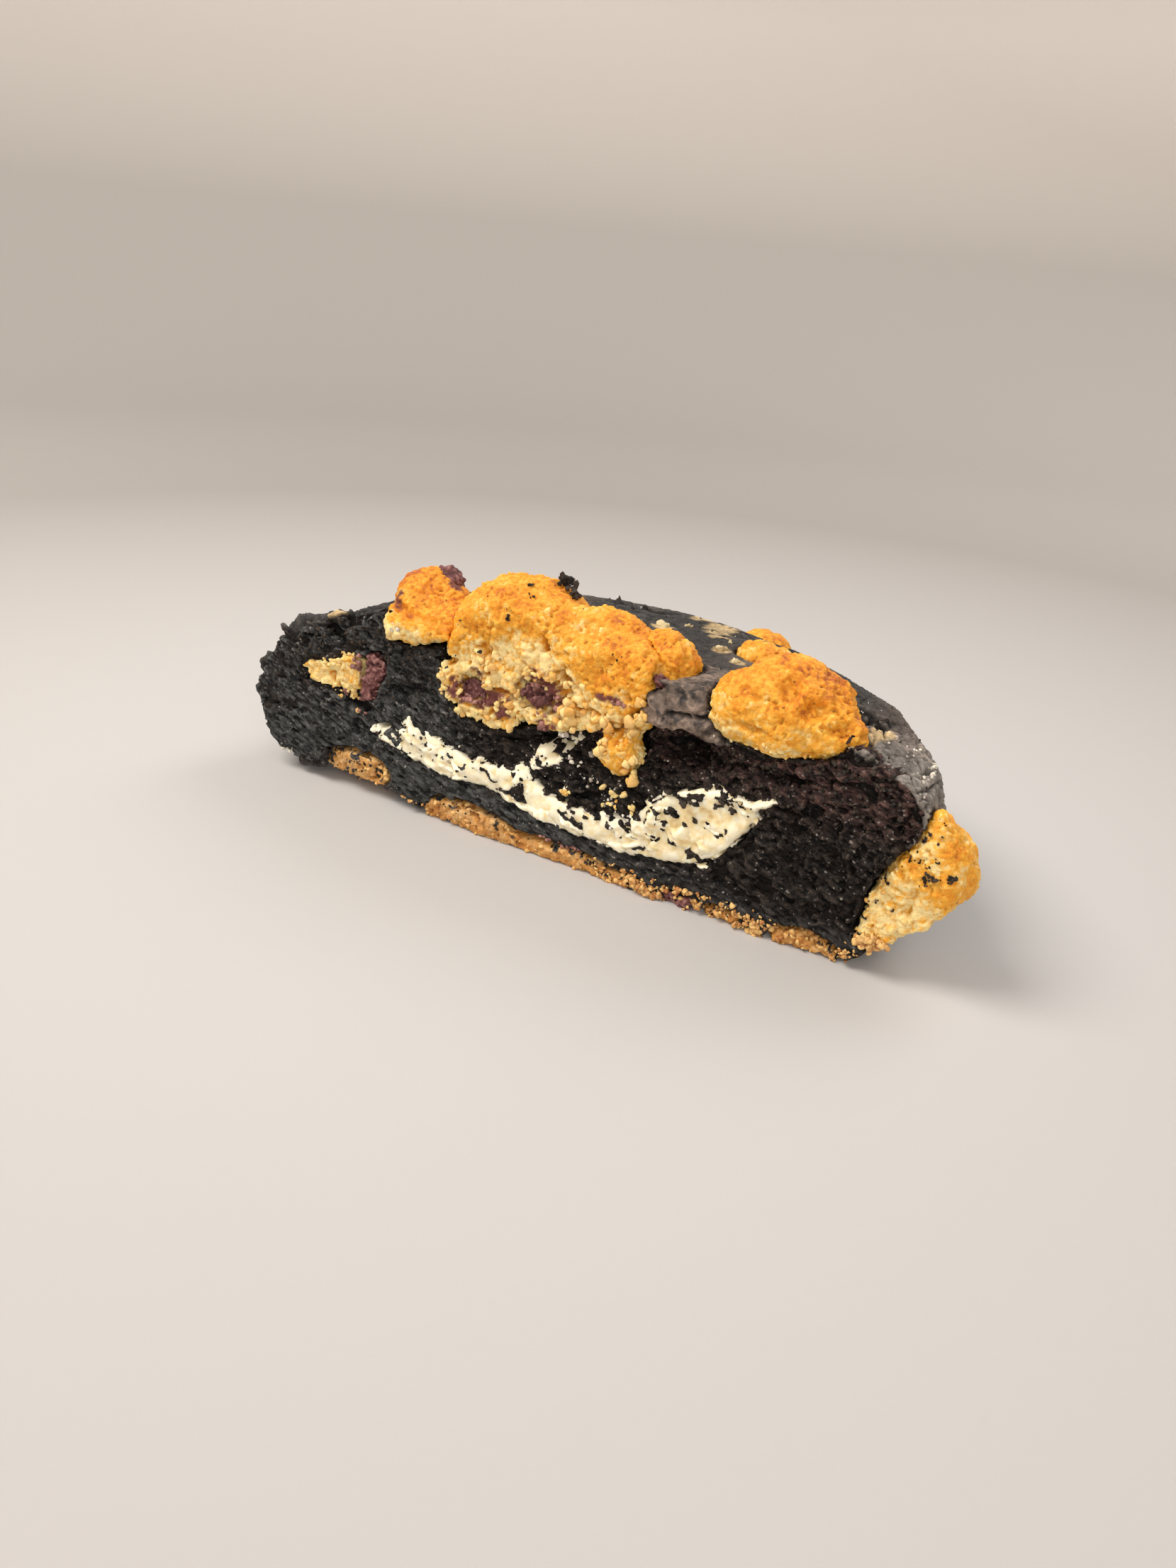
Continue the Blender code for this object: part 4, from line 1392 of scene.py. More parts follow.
@dataclass
class CreamFilling:
    """The curdled cream: its layer through the cookie, and the ragged front that smears over the cut."""

    voxel: float = 0.45
    cell: float = 0.19  # width of the front's squares
    thick: float = 0.55
    # the front's upper and lower edge along the cut, as places (x, z)
    top: tuple = (
        (-29.2, 11.0), (-28.2, 11.6), (-26.2, 10.4), (-24.4, 8.9), (-23.9, 9.2), (-23.7, 13.2),
        (-22.8, 13.9), (-20.9, 12.6), (-19.1, 11.5), (-17.6, 12.2), (-16.6, 12.9), (-16.4, 10.9),
        (-15.5, 9.9), (-13.5, 9.1), (-11.7, 8.6), (-11.3, 11.2), (-10.4, 11.7), (-7.7, 10.7), (-6.1, 9.9),
        (-5.3, 9.9), (-5.1, 11.6), (-4.3, 12.4), (-3.0, 12.1), (-2.6, 10.8), (-1.4, 10.1), (0.2, 9.2),
        (1.4, 8.8), (2.2, 7.9), (4.8, 8.1), (7.1, 7.8), (9.8, 8.7), (12.6, 9.6), (13.8, 12.6), (15.8, 13.4),
        (17.3, 14.8), (19.4, 14.4), (20.6, 14.4), (22.0, 16.4), (23.4, 17.3), (25.2, 16.9), (28.2, 16.9),
        (31.8, 18.2),
    )
    bottom: tuple = (
        (-29.2, 10.2), (-27.8, 9.4), (-24.0, 8.4), (-21.6, 7.6), (-19.5, 7.7), (-16.6, 6.8), (-11.2, 7.2),
        (-6.7, 6.4), (-3.6, 6.0), (-1.2, 5.2), (1.1, 5.0), (8.8, 4.6), (12.2, 4.3), (14.5, 6.1),
        (17.9, 6.2), (19.6, 6.5), (21.9, 7.2), (24.5, 7.3), (26.0, 8.0), (27.3, 10.4), (28.2, 12.4),
        (29.4, 14.2), (29.2, 15.6), (31.8, 17.8),
    )
    # blobs apart from the rest: middle (x, z), half widths and tilt in degrees
    blobs: tuple = (
        (-0.6, 14.0, 2.5, 1.6, 22.0), (-2.3, 12.5, 1.0, 1.0, 0.0), (2.4, 16.6, 1.4, 0.8, 20.0),
        (2.9, 10.4, 0.9, 0.6, 30.0), (23.4, 6.3, 1.5, 0.4, -15.0), (29.2, 14.4, 1.0, 0.7, 0.0),
    )
    # black crumb that shows through the cream: middle (x, z), half widths and tilt in degrees
    gaps: tuple = (
        (-9.3, 9.4, 1.7, 0.45, -52.0), (-5.2, 9.6, 0.5, 1.2, 0.0), (-3.6, 7.8, 1.3, 0.3, -30.0),
        (-1.4, 9.4, 0.6, 0.35, -30.0), (3.7, 7.1, 1.6, 0.4, -15.0), (1.0, 13.8, 0.6, 0.35, 0.0),
        (-0.2, 14.5, 0.35, 0.25, 30.0), (-20.6, 9.4, 0.5, 0.3, 0.0), (-15.0, 8.6, 0.9, 0.22, -20.0),
        (-13.2, 8.1, 0.7, 0.2, -20.0), (14.4, 10.9, 1.3, 0.9, -40.0), (12.4, 6.4, 1.2, 0.3, 20.0),
        (16.6, 13.1, 0.7, 0.4, 30.0), (21.9, 6.9, 1.9, 0.32, -10.0), (23.0, 14.5, 1.2, 0.38, -42.0),
        (20.1, 12.5, 0.34, 0.5, 0.0), (21.4, 13.6, 0.28, 0.55, 20.0), (25.4, 14.2, 0.42, 0.6, 30.0),
        (26.1, 15.7, 0.36, 0.5, -30.0), (27.6, 15.8, 0.9, 0.3, -20.0), (24.8, 10.7, 0.3, 0.25, 0.0),
        (25.9, 9.4, 0.45, 0.25, -20.0),
    )
    layer: Skin | None = None
    front: Skin | None = None

    def build(self) -> None:
        """Lay the skin of the layer itself."""
        skin = Skin.over("cream_layer", "cream", self.voxel)
        skin.smooth(5)
        points = skin.points()
        noise = Noise(Seed.CREAM_LAYER)
        curds, _ = noise.grains(points, 1.2)
        skin.push(0.1 + 0.22 * noise.layers(points, 1.8, 3) + 0.3 * (curds - 0.35))
        skin.note("hollow", skin.hollows(5, 0.3))
        skin.note("rich", smoothstep(12.0, 17.0, points[:, 0]))
        self.layer = skin

    def smear(self, trees: list[BVHTree]) -> None:
        """Make the ragged front over the cut.

        Args:
            trees: what the front lies on.
        """
        grid = FrontGrid((-33.0, 34.0), (2.5, 20.5), self.cell)
        inside = self._inside(grid.flat)
        keep = inside > -0.5
        depth, _, _ = grid.cast(trees, keep)
        ground = grid.evened(depth, 14).ravel()
        curds, fine = Noise(Seed.CREAM_CURDS), Noise(Seed.CREAM_FINE)
        flat = grid.flat
        bent = flat + 0.6 * fine.drift(flat, 1.8)
        big, _ = curds.grains(bent, 2.7)
        small, _ = fine.grains(bent, 1.0)
        threads = curds.layers(fibres(flat, -18.0, 2.4), 1.2, 3, 0.6)
        relief = 1.1 * (big - 0.35) + 0.3 * (small - 0.3) + 0.3 * threads
        relief -= 0.9 * smoothstep(0.15, 0.45, fine.layers(flat, 3.2, 3, 0.6))
        lift = smoothstep(-0.15, 0.6, inside) * (self.thick + relief) - 1.3 * smoothstep(0.1, -0.4, inside)
        skin = grid.sheet("cream_front", keep.reshape(grid.x.shape), (ground - lift).reshape(grid.x.shape))
        skin.note("hollow", skin.hollows(8, 0.34))
        skin.note("rich", smoothstep(11.0, 16.0, skin.points()[:, 0]))
        self.front = skin

    @staticmethod
    def _spot(flat: Array, spot: tuple) -> Array:
        """How far each place lies inside a slanting oval: its middle, half widths and tilt."""
        x, z, wide, high, tilt = spot
        turn = math.radians(tilt)
        along = (flat[:, 0] - x) * math.cos(turn) + (flat[:, 2] - z) * math.sin(turn)
        side = (flat[:, 2] - z) * math.cos(turn) - (flat[:, 0] - x) * math.sin(turn)
        return (1 - np.hypot(along / wide, side / high)) * min(wide, high)

    def _inside(self, flat: Array) -> Array:
        """How far each place on the cut lies inside the ragged outline, in millimetres."""
        noise, bites = Noise(Seed.CREAM_EDGE), Noise(Seed.CREAM_BITES)
        x, z = flat[:, [0, 2]].T + 0.36 * noise.drift(flat, 1.6, 3, 0.7, axes=2).T
        top = np.interp(x, *np.array(self.top).T)
        bottom = np.interp(x, *np.array(self.bottom).T)
        # on a steep edge the height above it says too much about how far away it is
        inside = np.minimum(top - z, z - bottom)
        inside = np.minimum(inside, np.minimum(x + 29.4, 32.0 - x))
        height = (z - bottom) / np.maximum(top - bottom, 0.5)
        crumby = smoothstep(14.0, 8.0, x) * smoothstep(0.1, 0.6, height)
        inside -= 1.5 * crumby * smoothstep(0.36, 0.6, bites.layers(flat, 1.6, 3, 0.7))
        inside -= 1.0 * smoothstep(0.6, 0.85, bites.layers(flat + 30.0, 1.3, 2))
        wobbly = np.stack([x, flat[:, 1], z], axis=1)
        for gap in self.gaps:
            inside = np.minimum(inside, -self._spot(wobbly, gap) * 1.6 + 0.05)
        for blob in self.blobs:
            oval = self._spot(wobbly, blob) - 0.7 * smoothstep(0.3, 0.5, bites.layers(flat, 1.2, 2))
            inside = np.maximum(inside, oval)
        return inside

    def dress(self, material: bpy.types.Material) -> None:
        """Finish both skins in place of the CAD node."""
        self.layer.finish(material, Slot.CREAM, "cream")
        self.front.finish(material, Slot.CREAM)


@dataclass
class Heap:
    """Many small irregular lumps of one kind, joined in one mesh."""

    name: str
    finish: LooseGrain
    slot: Slot
    seed: int
    rounds: int = 1  # subdivisions of each lump
    kinds: int = 9  # different lumps
    rarity: float = 2.4  # how much rarer large lumps are than small ones, as a power
    knobbly: float = 0.4
    flattened: float = 0.62  # how far out the broken sides are, as a share of the half width
    faceted: bool = False
    centres: list = field(default_factory=list)
    sizes: list = field(default_factory=list)

    def add(self, centres: Array, sizes: Array) -> None:
        """Add lumps: their middles and their half widths in millimetres."""
        self.centres.append(np.asarray(centres, float).reshape(-1, 3))
        self.sizes.append(np.asarray(sizes, float).ravel())

    def scatter(
        self,
        skin: Skin,
        count: int,
        weight: Share,
        small: float,
        large: float,
        sunk: float = 0.3,
        joined: int = 1,
    ) -> None:
        """Strew lumps on a skin, most of them small.

        Args:
            skin: what they lie on.
            count: how many.
            weight: takes places and directions, and says how likely a lump is there.
            small: the least half width.
            large: the greatest half width.
            sunk: how deep they sit, as a share of their half width.
            joined: how many lumps stick together at each place.
        """
        places, normals = strew(skin, count, weight, self.seed + 13 * len(self.centres))
        draw = np.random.default_rng(self.seed + 29 * len(self.centres))
        sizes = small + (large - small) * draw.random(count) ** self.rarity
        places = places + normals * ((0.6 - sunk) * sizes)[:, None]
        for _ in range(joined):
            self.add(places + draw.normal(size=places.shape) * (0.5 * (joined > 1) * sizes)[:, None], sizes)
            sizes = sizes * draw.uniform(0.6, 0.95, count)

    def clumps(self, trees: list[BVHTree], piles: Iterable[tuple]) -> None:
        """Pile lumps round some middles, on whatever lies there.

        Args:
            trees: the meshes that they may lie on.
            piles: for each pile its middle, its reach along each axis, how many lumps there are, the least
                and the greatest half width, and how high they pile up.
        """
        for centre, spread, count, small, large, high in piles:
            draw = np.random.default_rng(self.seed + 31 * len(self.centres))
            away = draw.normal(size=(count, 3))
            away *= (draw.random((count, 1)) ** 0.5) / np.linalg.norm(away, axis=1, keepdims=True)
            sizes = draw.uniform(small, large, count)
            places = np.array(centre) + away * np.array(spread)
            for i, place in enumerate(places):
                found = [tree.find_nearest(Vector(place)) for tree in trees]
                spot, normal, _, _ = min((f for f in found if f[0] is not None), key=lambda f: f[3])
                places[i] = spot + normal * (0.35 * sizes[i] + high * draw.random())
            self.add(places, sizes)

    def build(self) -> None:
        """Make, join and dress the lumps."""
        draw = np.random.default_rng(self.seed)
        centres, sizes = np.concatenate(self.centres), np.concatenate(self.sizes)
        bm = bmesh.new()
        bmesh.ops.create_icosphere(bm, subdivisions=self.rounds + 1, radius=1.0)
        ball = np.array([v.co for v in bm.verts])
        faces = np.array([[v.index for v in f.verts] for f in bm.faces])
        bm.free()
        shapes = []
        for k in range(self.kinds):
            noise = Noise(self.seed + 7 * k)
            shape = ball * (1 + self.knobbly * noise.layers(ball + 9.0 * k, 0.9, 2))[:, None]
            for side in self._sides(draw):
                shape = shape - np.maximum(shape @ side - self.flattened, 0)[:, None] * side
            shapes.append(shape)
        shapes = np.array(shapes)[draw.integers(0, self.kinds, len(centres))]
        shapes = shapes * draw.uniform(0.6, 1.25, (len(centres), 1, 3))
        turned = np.einsum("nij,nkj->nki", self._turns(draw, len(centres)), shapes)
        points = (turned * sizes[:, None, None] + centres[:, None, :]).reshape(-1, 3)
        points[:, 2] = np.maximum(points[:, 2], 0.0)
        starts = np.arange(len(centres))[:, None, None] * len(ball)
        skin = Skin.of(self.name, points, (faces[None] + starts).reshape(-1, 3).tolist())
        skin.note("tone", np.repeat(draw.random(len(centres)), len(ball)))
        skin.finish(self.finish.build(), self.slot)
        if self.faceted:
            skin.obj.data.shade_flat()

    @staticmethod
    def _sides(draw: np.random.Generator, count: int = 7) -> Array:
        """Random directions in which a lump broke off flat."""
        sides = draw.normal(size=(count, 3))
        return sides / np.linalg.norm(sides, axis=1, keepdims=True)

    @staticmethod
    def _turns(draw: np.random.Generator, count: int) -> Array:
        """Random turns, one 3 by 3 matrix each."""
        q = draw.normal(size=(count, 4))
        w, x, y, z = (q / np.linalg.norm(q, axis=1, keepdims=True)).T
        rows = [
            [1 - 2 * (y * y + z * z), 2 * (x * y - w * z), 2 * (x * z + w * y)],
            [2 * (x * y + w * z), 1 - 2 * (x * x + z * z), 2 * (y * z - w * x)],
            [2 * (x * z - w * y), 2 * (y * z + w * x), 1 - 2 * (x * x + y * y)],
        ]
        return np.moveaxis(np.array(rows), 2, 0)


def strew(skin: Skin, count: int, weight: Share, seed: int) -> tuple[Array, Array]:
    """Draw places on a skin.

    Args:
        skin: the skin to draw on.
        count: how many places.
        weight: takes points and normals, and says how likely each is.
        seed: for the draw.

    Returns:
        The places and the directions out of the skin there.
    """
    draw = np.random.default_rng(seed)
    corners = skin.points()[skin.triangles()]
    across = np.cross(corners[:, 1] - corners[:, 0], corners[:, 2] - corners[:, 0])
    area = np.linalg.norm(across, axis=1)
    normals = across / np.maximum(area, 1e-9)[:, None]
    likely = area * weight(corners.mean(axis=1), normals)
    picked = draw.choice(len(corners), count, p=likely / likely.sum())
    u, v = draw.random((2, count))
    over = u + v > 1
    u, v = np.where(over, 1 - u, u)[:, None], np.where(over, 1 - v, v)[:, None]
    chosen = corners[picked]
    places = chosen[:, 0] + u * (chosen[:, 1] - chosen[:, 0]) + v * (chosen[:, 2] - chosen[:, 0])
    return places, normals[picked]


def tree_of(skins: list[Skin]) -> BVHTree:
    """One search tree of several skins."""
    points, triangles = [skin.points() for skin in skins], [skin.triangles() for skin in skins]
    starts = np.cumsum([0] + [len(part) for part in points[:-1]])
    joined = np.concatenate([part + start for part, start in zip(triangles, starts)])
    return BVHTree.FromPolygons(np.concatenate(points).tolist(), joined.tolist())


def closeness(skin: Skin, tree: BVHTree, far: float, near: float) -> Array:
    """How close each point of a skin is to other meshes.

    Args:
        skin: the skin.
        tree: the other meshes.
        far: the distance in millimetres from which on it is 0.
        near: the distance up to which it is 1.

    Returns:
        Its closeness from 0 to 1.
    """
    away = [tree.find_nearest(Vector(point), far)[3] for point in skin.points()]
    return smoothstep(far, near, np.array([far if gap is None else gap for gap in away]))


# ---------------------------------------------------------------- putting it together


def on_tray(points: Array, normals: Array) -> Array:
    """Browning of the dough that lay on the tray: paler at the left end, browner along the lower edge."""
    return 0.5 + 0.003 * points[:, 0] + 0.25 * smoothstep(2.0, 0.2, points[:, 2])


def dough_chunks() -> list[DoughChunk]:
    """The chunks of dough, each with its own browning."""
    border = baked_above(
        (-16.0, 24.5), (-14.5, 26.6), (-8.7, 27.6), (-5.6, 29.8), (-2.5, 30.0), (1.9, 27.5), (5.3, 24.0),
        (9.3, 22.0), blend=1.6,
    )
    toasts = (
        ((-9.5, -15.0, 33.5), (3.0, 4.0, 2.4), -0.16), ((3.0, -14.5, 33.0), (3.2, 4.0, 1.6), -0.12),
        ((-2.0, -16.5, 31.6), (3.0, 3.0, 1.4), 0.16), ((8.0, -17.0, 30.0), (3.4, 3.0, 1.8), 0.16),
        ((-13.0, -17.5, 29.5), (1.4, 3.0, 2.0), 0.1),
    )
    stains = (
        ((-11.4, CUT_Y, 20.0), (5.6, 2.5, 2.5)), ((-12.0, CUT_Y, 22.6), (1.4, 2.0, 1.2)),
        ((-1.6, CUT_Y, 22.2), (4.8, 2.5, 3.8)), ((1.6, CUT_Y, 25.4), (1.6, 2.0, 1.1)),
        ((8.4, CUT_Y, 24.6), (2.4, 2.0, 0.6)), ((-7.5, CUT_Y, 18.4), (2.4, 2.0, 1.2)),
        ((-0.7, CUT_Y, 18.6), (1.8, 2.0, 0.9)),
    )
    dents = (
        ((-11.9, CUT_Y, 22.6), (0.8, 2.0, 0.8), 1.3), ((-4.1, CUT_Y, 24.2), (1.2, 2.0, 0.9), 1.1),
        ((-0.4, CUT_Y, 20.6), (1.5, 2.0, 0.8), 1.3), ((1.6, CUT_Y, 25.4), (0.9, 2.0, 0.7), 0.7),
        ((-7.6, CUT_Y, 21.3), (3.0, 2.0, 0.35), 1.0), ((-4.2, CUT_Y, 20.4), (1.6, 2.0, 0.4), 0.9),
        ((5.6, CUT_Y, 22.0), (2.2, 2.0, 0.45), 0.9), ((-13.5, CUT_Y, 18.3), (2.6, 2.0, 0.3), 0.6),
    )
    smeared = (((-5.5, CUT_Y, 4.2), (4.6, 3.0, 1.3)), ((6.0, CUT_Y, 3.2), (5.0, 3.0, 0.9)))
    return [
        DoughChunk(
            "chunk_middle", "dough_middle", 0.25, border, 101, stains=stains, dents=dents, toasts=toasts
        ),
        DoughChunk(
            "chunk_left", "dough_left", 0.24,
            baked_above((-30.0, 27.4), (-24.0, 26.9), (-20.0, 25.4), (-14.0, 25.0), blend=1.4, least=0.25),
            102, lumpy=0.4, browning=1.15, brown_top=0.12,
            stains=(((-26.8, -16.5, 28.9), (0.9, 2.5, 1.5)), ((-20.9, -12.0, 31.4), (1.3, 1.6, 1.2))),
            dents=(
                ((-25.6, -17.5, 28.2), (1.5, 3.0, 0.7), 1.0), ((-21.0, -19.0, 28.0), (4.0, 2.5, 0.5), 0.8),
                ((-23.5, -14.5, 31.0), (0.6, 2.5, 1.8), 0.5),
            ),
            toasts=(
                ((-23.6, -16.4, 29.6), (2.6, 2.0, 1.0), -0.08),
                ((-23.0, -19.5, 26.0), (9.0, 3.0, 1.6), -0.3),
            ),
        ),
        DoughChunk("chunk_small", "dough_small", 0.28, evenly(1.0), 103, brown_top=0.15),
        DoughChunk(
            "chunk_right", "dough_right", 0.26,
            baked_above(
                (20.0, 30.5), (23.0, 28.4), (26.0, 25.6), (30.0, 24.6), (34.0, 24.0), (40.0, 25.6),
                blend=2.6, least=0.5,
            ),
            104, lumpy=0.4, brown_top=0.14,
            dents=(
                ((31.0, -18.9, 31.0), (1.4, 2.5, 1.8), 1.1), ((34.0, -18.8, 29.2), (1.8, 2.5, 1.3), 1.2),
                ((37.2, -18.6, 27.6), (1.6, 2.5, 0.8), 0.8), ((27.5, -19.5, 26.2), (2.6, 2.5, 0.6), 0.6),
            ),
            toasts=(
                ((34.0, -14.5, 31.8), (2.6, 3.0, 2.0), 0.3), ((24.4, -19.5, 29.0), (2.4, 2.5, 2.4), -0.26),
                ((33.0, -18.8, 29.8), (2.4, 2.0, 1.4), 0.14), ((38.0, -16.5, 27.4), (1.6, 3.0, 1.2), -0.1),
            ),
        ),
        DoughChunk("chunk_back", "dough_back", 0.32, evenly(1.0), 105, brown_top=0.0, swell=-0.25),
        DoughChunk("chunk_rim", "dough_rim", 0.4, evenly(1.0), 106),
        DoughChunk("chunk_rear", "dough_rear", 0.4, evenly(1.0), 107),
        DoughChunk(
            "chunk_end", "dough_end", 0.28,
            baked_above(
                (40.0, 14.5), (44.0, 13.2), (49.0, 11.4), (53.0, 9.5), (56.0, 8.0), blend=2.4, least=0.2
            ),
            108, brown_top=0.1, browning=0.66, pits=0.4, lumpy=0.25,
            toasts=(
                ((54.4, -18.5, 12.5), (1.6, 3.0, 3.0), 0.2), ((52.4, -18.5, 17.6), (2.0, 3.0, 1.4), 0.14),
            ),
        ),
        DoughChunk(
            "chunk_wedge", "dough_wedge", 0.18, evenly(0.04), 109,
            swell=-0.05, coarse=0.5, grain_mm=1.2, lumpy=0.2,
        ),
        DoughChunk("dough_crumb", "dough_knob", 0.18, evenly(0.6), 110, coarse=0.9, swell=0.25),
        *(
            DoughChunk(
                f"base_patch_{k}", f"base_dough_{k}", 0.28, on_tray, 110 + k,
                grain_mm=1.1, coarse=0.5, lumpy=0.15, swell=-0.1, ledge=0.0, stains=smeared if k == 2 else (),
            )
            for k in range(1, 5)
        ),
    ]


# piles of loose lumps: the middle, the reach along each axis, how many lumps, their least and greatest half
# width, and how high they pile up
BLACK_PILES = (
    ((-3.9, -11.6, 35.3), (1.5, 1.2, 0.8), 34, 0.3, 0.62, 1.0),
    ((-1.9, -12.2, 34.7), (0.6, 0.8, 0.5), 12, 0.25, 0.5, 0.5),
    ((-37.6, -20.2, 4.2), (1.8, 0.3, 1.2), 40, 0.15, 0.4, 0.1),
    ((50.7, -20.7, 14.7), (0.9, 0.3, 0.5), 9, 0.2, 0.38, 0.2),
    ((53.0, -20.5, 15.1), (0.6, 0.3, 0.8), 10, 0.2, 0.4, 0.2),
    ((50.9, -20.0, 19.1), (0.3, 0.3, 0.1), 3, 0.15, 0.22, 0.0),
    ((-11.0, -20.2, 26.2), (0.6, 0.3, 0.4), 5, 0.2, 0.36, 0.1),
    ((-7.1, -20.1, 31.4), (0.2, 0.3, 0.4), 4, 0.2, 0.32, 0.0),
    ((-6.2, -16.4, 35.5), (0.5, 0.4, 0.2), 4, 0.18, 0.3, 0.0),
    ((-5.4, -17.7, 34.8), (0.4, 0.4, 0.2), 3, 0.18, 0.3, 0.0),
    ((18.9, -21.0, 15.0), (1.0, 0.3, 0.7), 7, 0.25, 0.5, 0.1),
    ((21.6, -21.0, 13.6), (1.2, 0.3, 0.8), 9, 0.25, 0.5, 0.1),
    ((24.9, -21.0, 15.2), (1.8, 0.3, 0.5), 10, 0.25, 0.5, 0.1),
    ((-1.8, -12.8, 33.9), (0.4, 0.6, 0.3), 6, 0.2, 0.4, 0.0),
)
GRANULE_PILES = (
    ((2.6, -20.2, 21.4), (1.9, 0.7, 1.8), 15, 0.55, 1.0, 0.8),
    ((3.6, -20.0, 19.6), (1.6, 0.7, 0.5), 6, 0.4, 0.8, 0.6),
    ((-0.2, -20.2, 25.0), (2.6, 0.5, 0.8), 8, 0.4, 0.75, 0.3),
    ((-3.6, -20.2, 24.8), (0.9, 0.4, 0.6), 4, 0.4, 0.7, 0.3),
    ((-5.4, -20.2, 21.6), (0.6, 0.4, 1.0), 4, 0.4, 0.7, 0.3),
    ((-9.6, -20.2, 21.6), (1.0, 0.4, 0.8), 5, 0.4, 0.8, 0.3),
    ((-9.0, -20.2, 24.6), (1.8, 0.4, 0.8), 6, 0.35, 0.7, 0.3),
    ((11.4, -20.0, 21.8), (1.1, 0.6, 1.4), 9, 0.5, 1.0, 0.8),
    ((13.6, -19.9, 23.8), (1.0, 0.5, 1.3), 9, 0.45, 0.9, 0.6),
    ((8.4, -19.9, 21.6), (1.6, 0.5, 1.2), 6, 0.5, 1.0, 0.4),
    ((8.2, -20.4, 17.6), (1.4, 0.6, 1.8), 7, 0.4, 0.8, 0.3),
    ((12.8, -20.4, 16.4), (1.2, 0.6, 2.0), 8, 0.4, 0.8, 0.3),
    ((3.3, -20.3, 10.4), (1.0, 0.3, 0.6), 6, 0.2, 0.45, 0.2),
    ((8.5, -20.3, 12.3), (0.4, 0.2, 0.5), 3, 0.3, 0.5, 0.1),
    ((10.4, -20.3, 12.6), (0.5, 0.3, 0.6), 5, 0.3, 0.6, 0.2),
    ((12.0, -20.3, 13.0), (0.4, 0.3, 0.5), 4, 0.25, 0.5, 0.2),
    ((13.3, -20.2, 11.1), (0.5, 0.3, 0.5), 5, 0.3, 0.55, 0.2),
    ((8.5, -20.3, 10.2), (0.3, 0.2, 0.3), 2, 0.3, 0.5, 0.1),
    ((10.6, -20.2, 11.0), (0.9, 0.2, 0.5), 5, 0.2, 0.45, 0.1),
    ((-14.2, -20.2, 17.0), (1.4, 0.5, 0.5), 6, 0.4, 0.8, 0.4),
    ((-36.4, -20.0, 18.5), (2.2, 0.4, 0.5), 14, 0.16, 0.42, 0.2),
    ((-33.9, -20.0, 20.3), (1.7, 0.4, 0.5), 14, 0.16, 0.42, 0.2),
    ((-32.4, -20.3, 14.8), (0.8, 0.3, 0.9), 12, 0.2, 0.45, 0.1),
    ((-31.6, -20.3, 13.2), (0.3, 0.3, 0.9), 6, 0.16, 0.34, 0.1),
    ((-17.2, -19.8, 20.4), (0.4, 0.4, 2.0), 8, 0.25, 0.5, 0.2),
    ((-34.0, -20.2, 14.6), (2.6, 0.3, 0.6), 10, 0.14, 0.35, 0.1),
)
PALE_PILES = (
    ((2.4, -19.6, 16.6), (1.2, 0.4, 0.7), 18, 0.2, 0.42, 0.4),
    ((4.6, -19.6, 16.0), (0.4, 0.3, 0.7), 8, 0.18, 0.36, 0.2),
    ((-13.9, -20.2, 12.0), (0.2, 0.2, 0.2), 1, 0.25, 0.3, 0.0),
    ((-24.6, -20.3, 26.2), (1.5, 0.6, 0.4), 8, 0.12, 0.3, 0.1),
    ((46.9, -12.4, 23.6), (0.6, 4.4, 0.6), 16, 0.14, 0.34, 0.2),
    ((43.6, -9.0, 24.6), (1.2, 4.0, 0.5), 8, 0.12, 0.26, 0.0),
    ((-45.0, -20.2, 3.0), (2.2, 0.4, 0.8), 12, 0.14, 0.36, 0.1),
)
CHOCOLATE_PILES = (
    ((-12.2, -20.4, 19.6), (2.2, 0.4, 1.4), 12, 0.25, 0.55, 0.2),
    ((-0.6, -20.4, 22.0), (3.0, 0.4, 1.6), 12, 0.25, 0.6, 0.2),
    ((-1.0, -20.4, 18.4), (1.4, 0.4, 0.7), 9, 0.3, 0.6, 0.3),
    ((9.4, -20.4, 24.4), (1.6, 0.4, 0.4), 6, 0.2, 0.4, 0.1),
    ((-31.4, -20.3, 19.6), (1.0, 0.4, 1.0), 12, 0.2, 0.5, 0.2),
    ((-33.6, -20.3, 14.7), (0.9, 0.3, 0.5), 10, 0.18, 0.42, 0.1),
    ((-31.0, -20.3, 13.7), (0.7, 0.3, 1.5), 16, 0.18, 0.42, 0.1),
    ((-29.4, -20.3, 16.8), (0.4, 0.3, 1.8), 8, 0.18, 0.4, 0.1),
    ((2.0, -20.2, 3.0), (5.0, 0.3, 0.6), 12, 0.18, 0.4, 0.1),
)
TOASTED_PILES = (((45.6, -20.3, 4.2), (2.2, 0.4, 1.4), 60, 0.25, 0.55, 0.5),)
# pebbles of baked butter on the crust: their middles and how large they are
PEBBLES = (
    ((4.2, 1.0, 28.9), 1.15), ((5.9, 6.1, 28.0), 0.6), ((14.8, -2.2, 28.6), 0.95), ((18.5, -5.5, 28.5), 0.75),
    ((14.1, 2.1, 28.3), 0.45),
)


def in_front(points: Array, normals: Array) -> Array:
    """1 where a skin looks out of the cut, and 0 elsewhere."""
    return smoothstep(-0.3, -0.7, normals[:, 1]) * (points[:, 1] < CUT_Y + CUT_DEPTH)


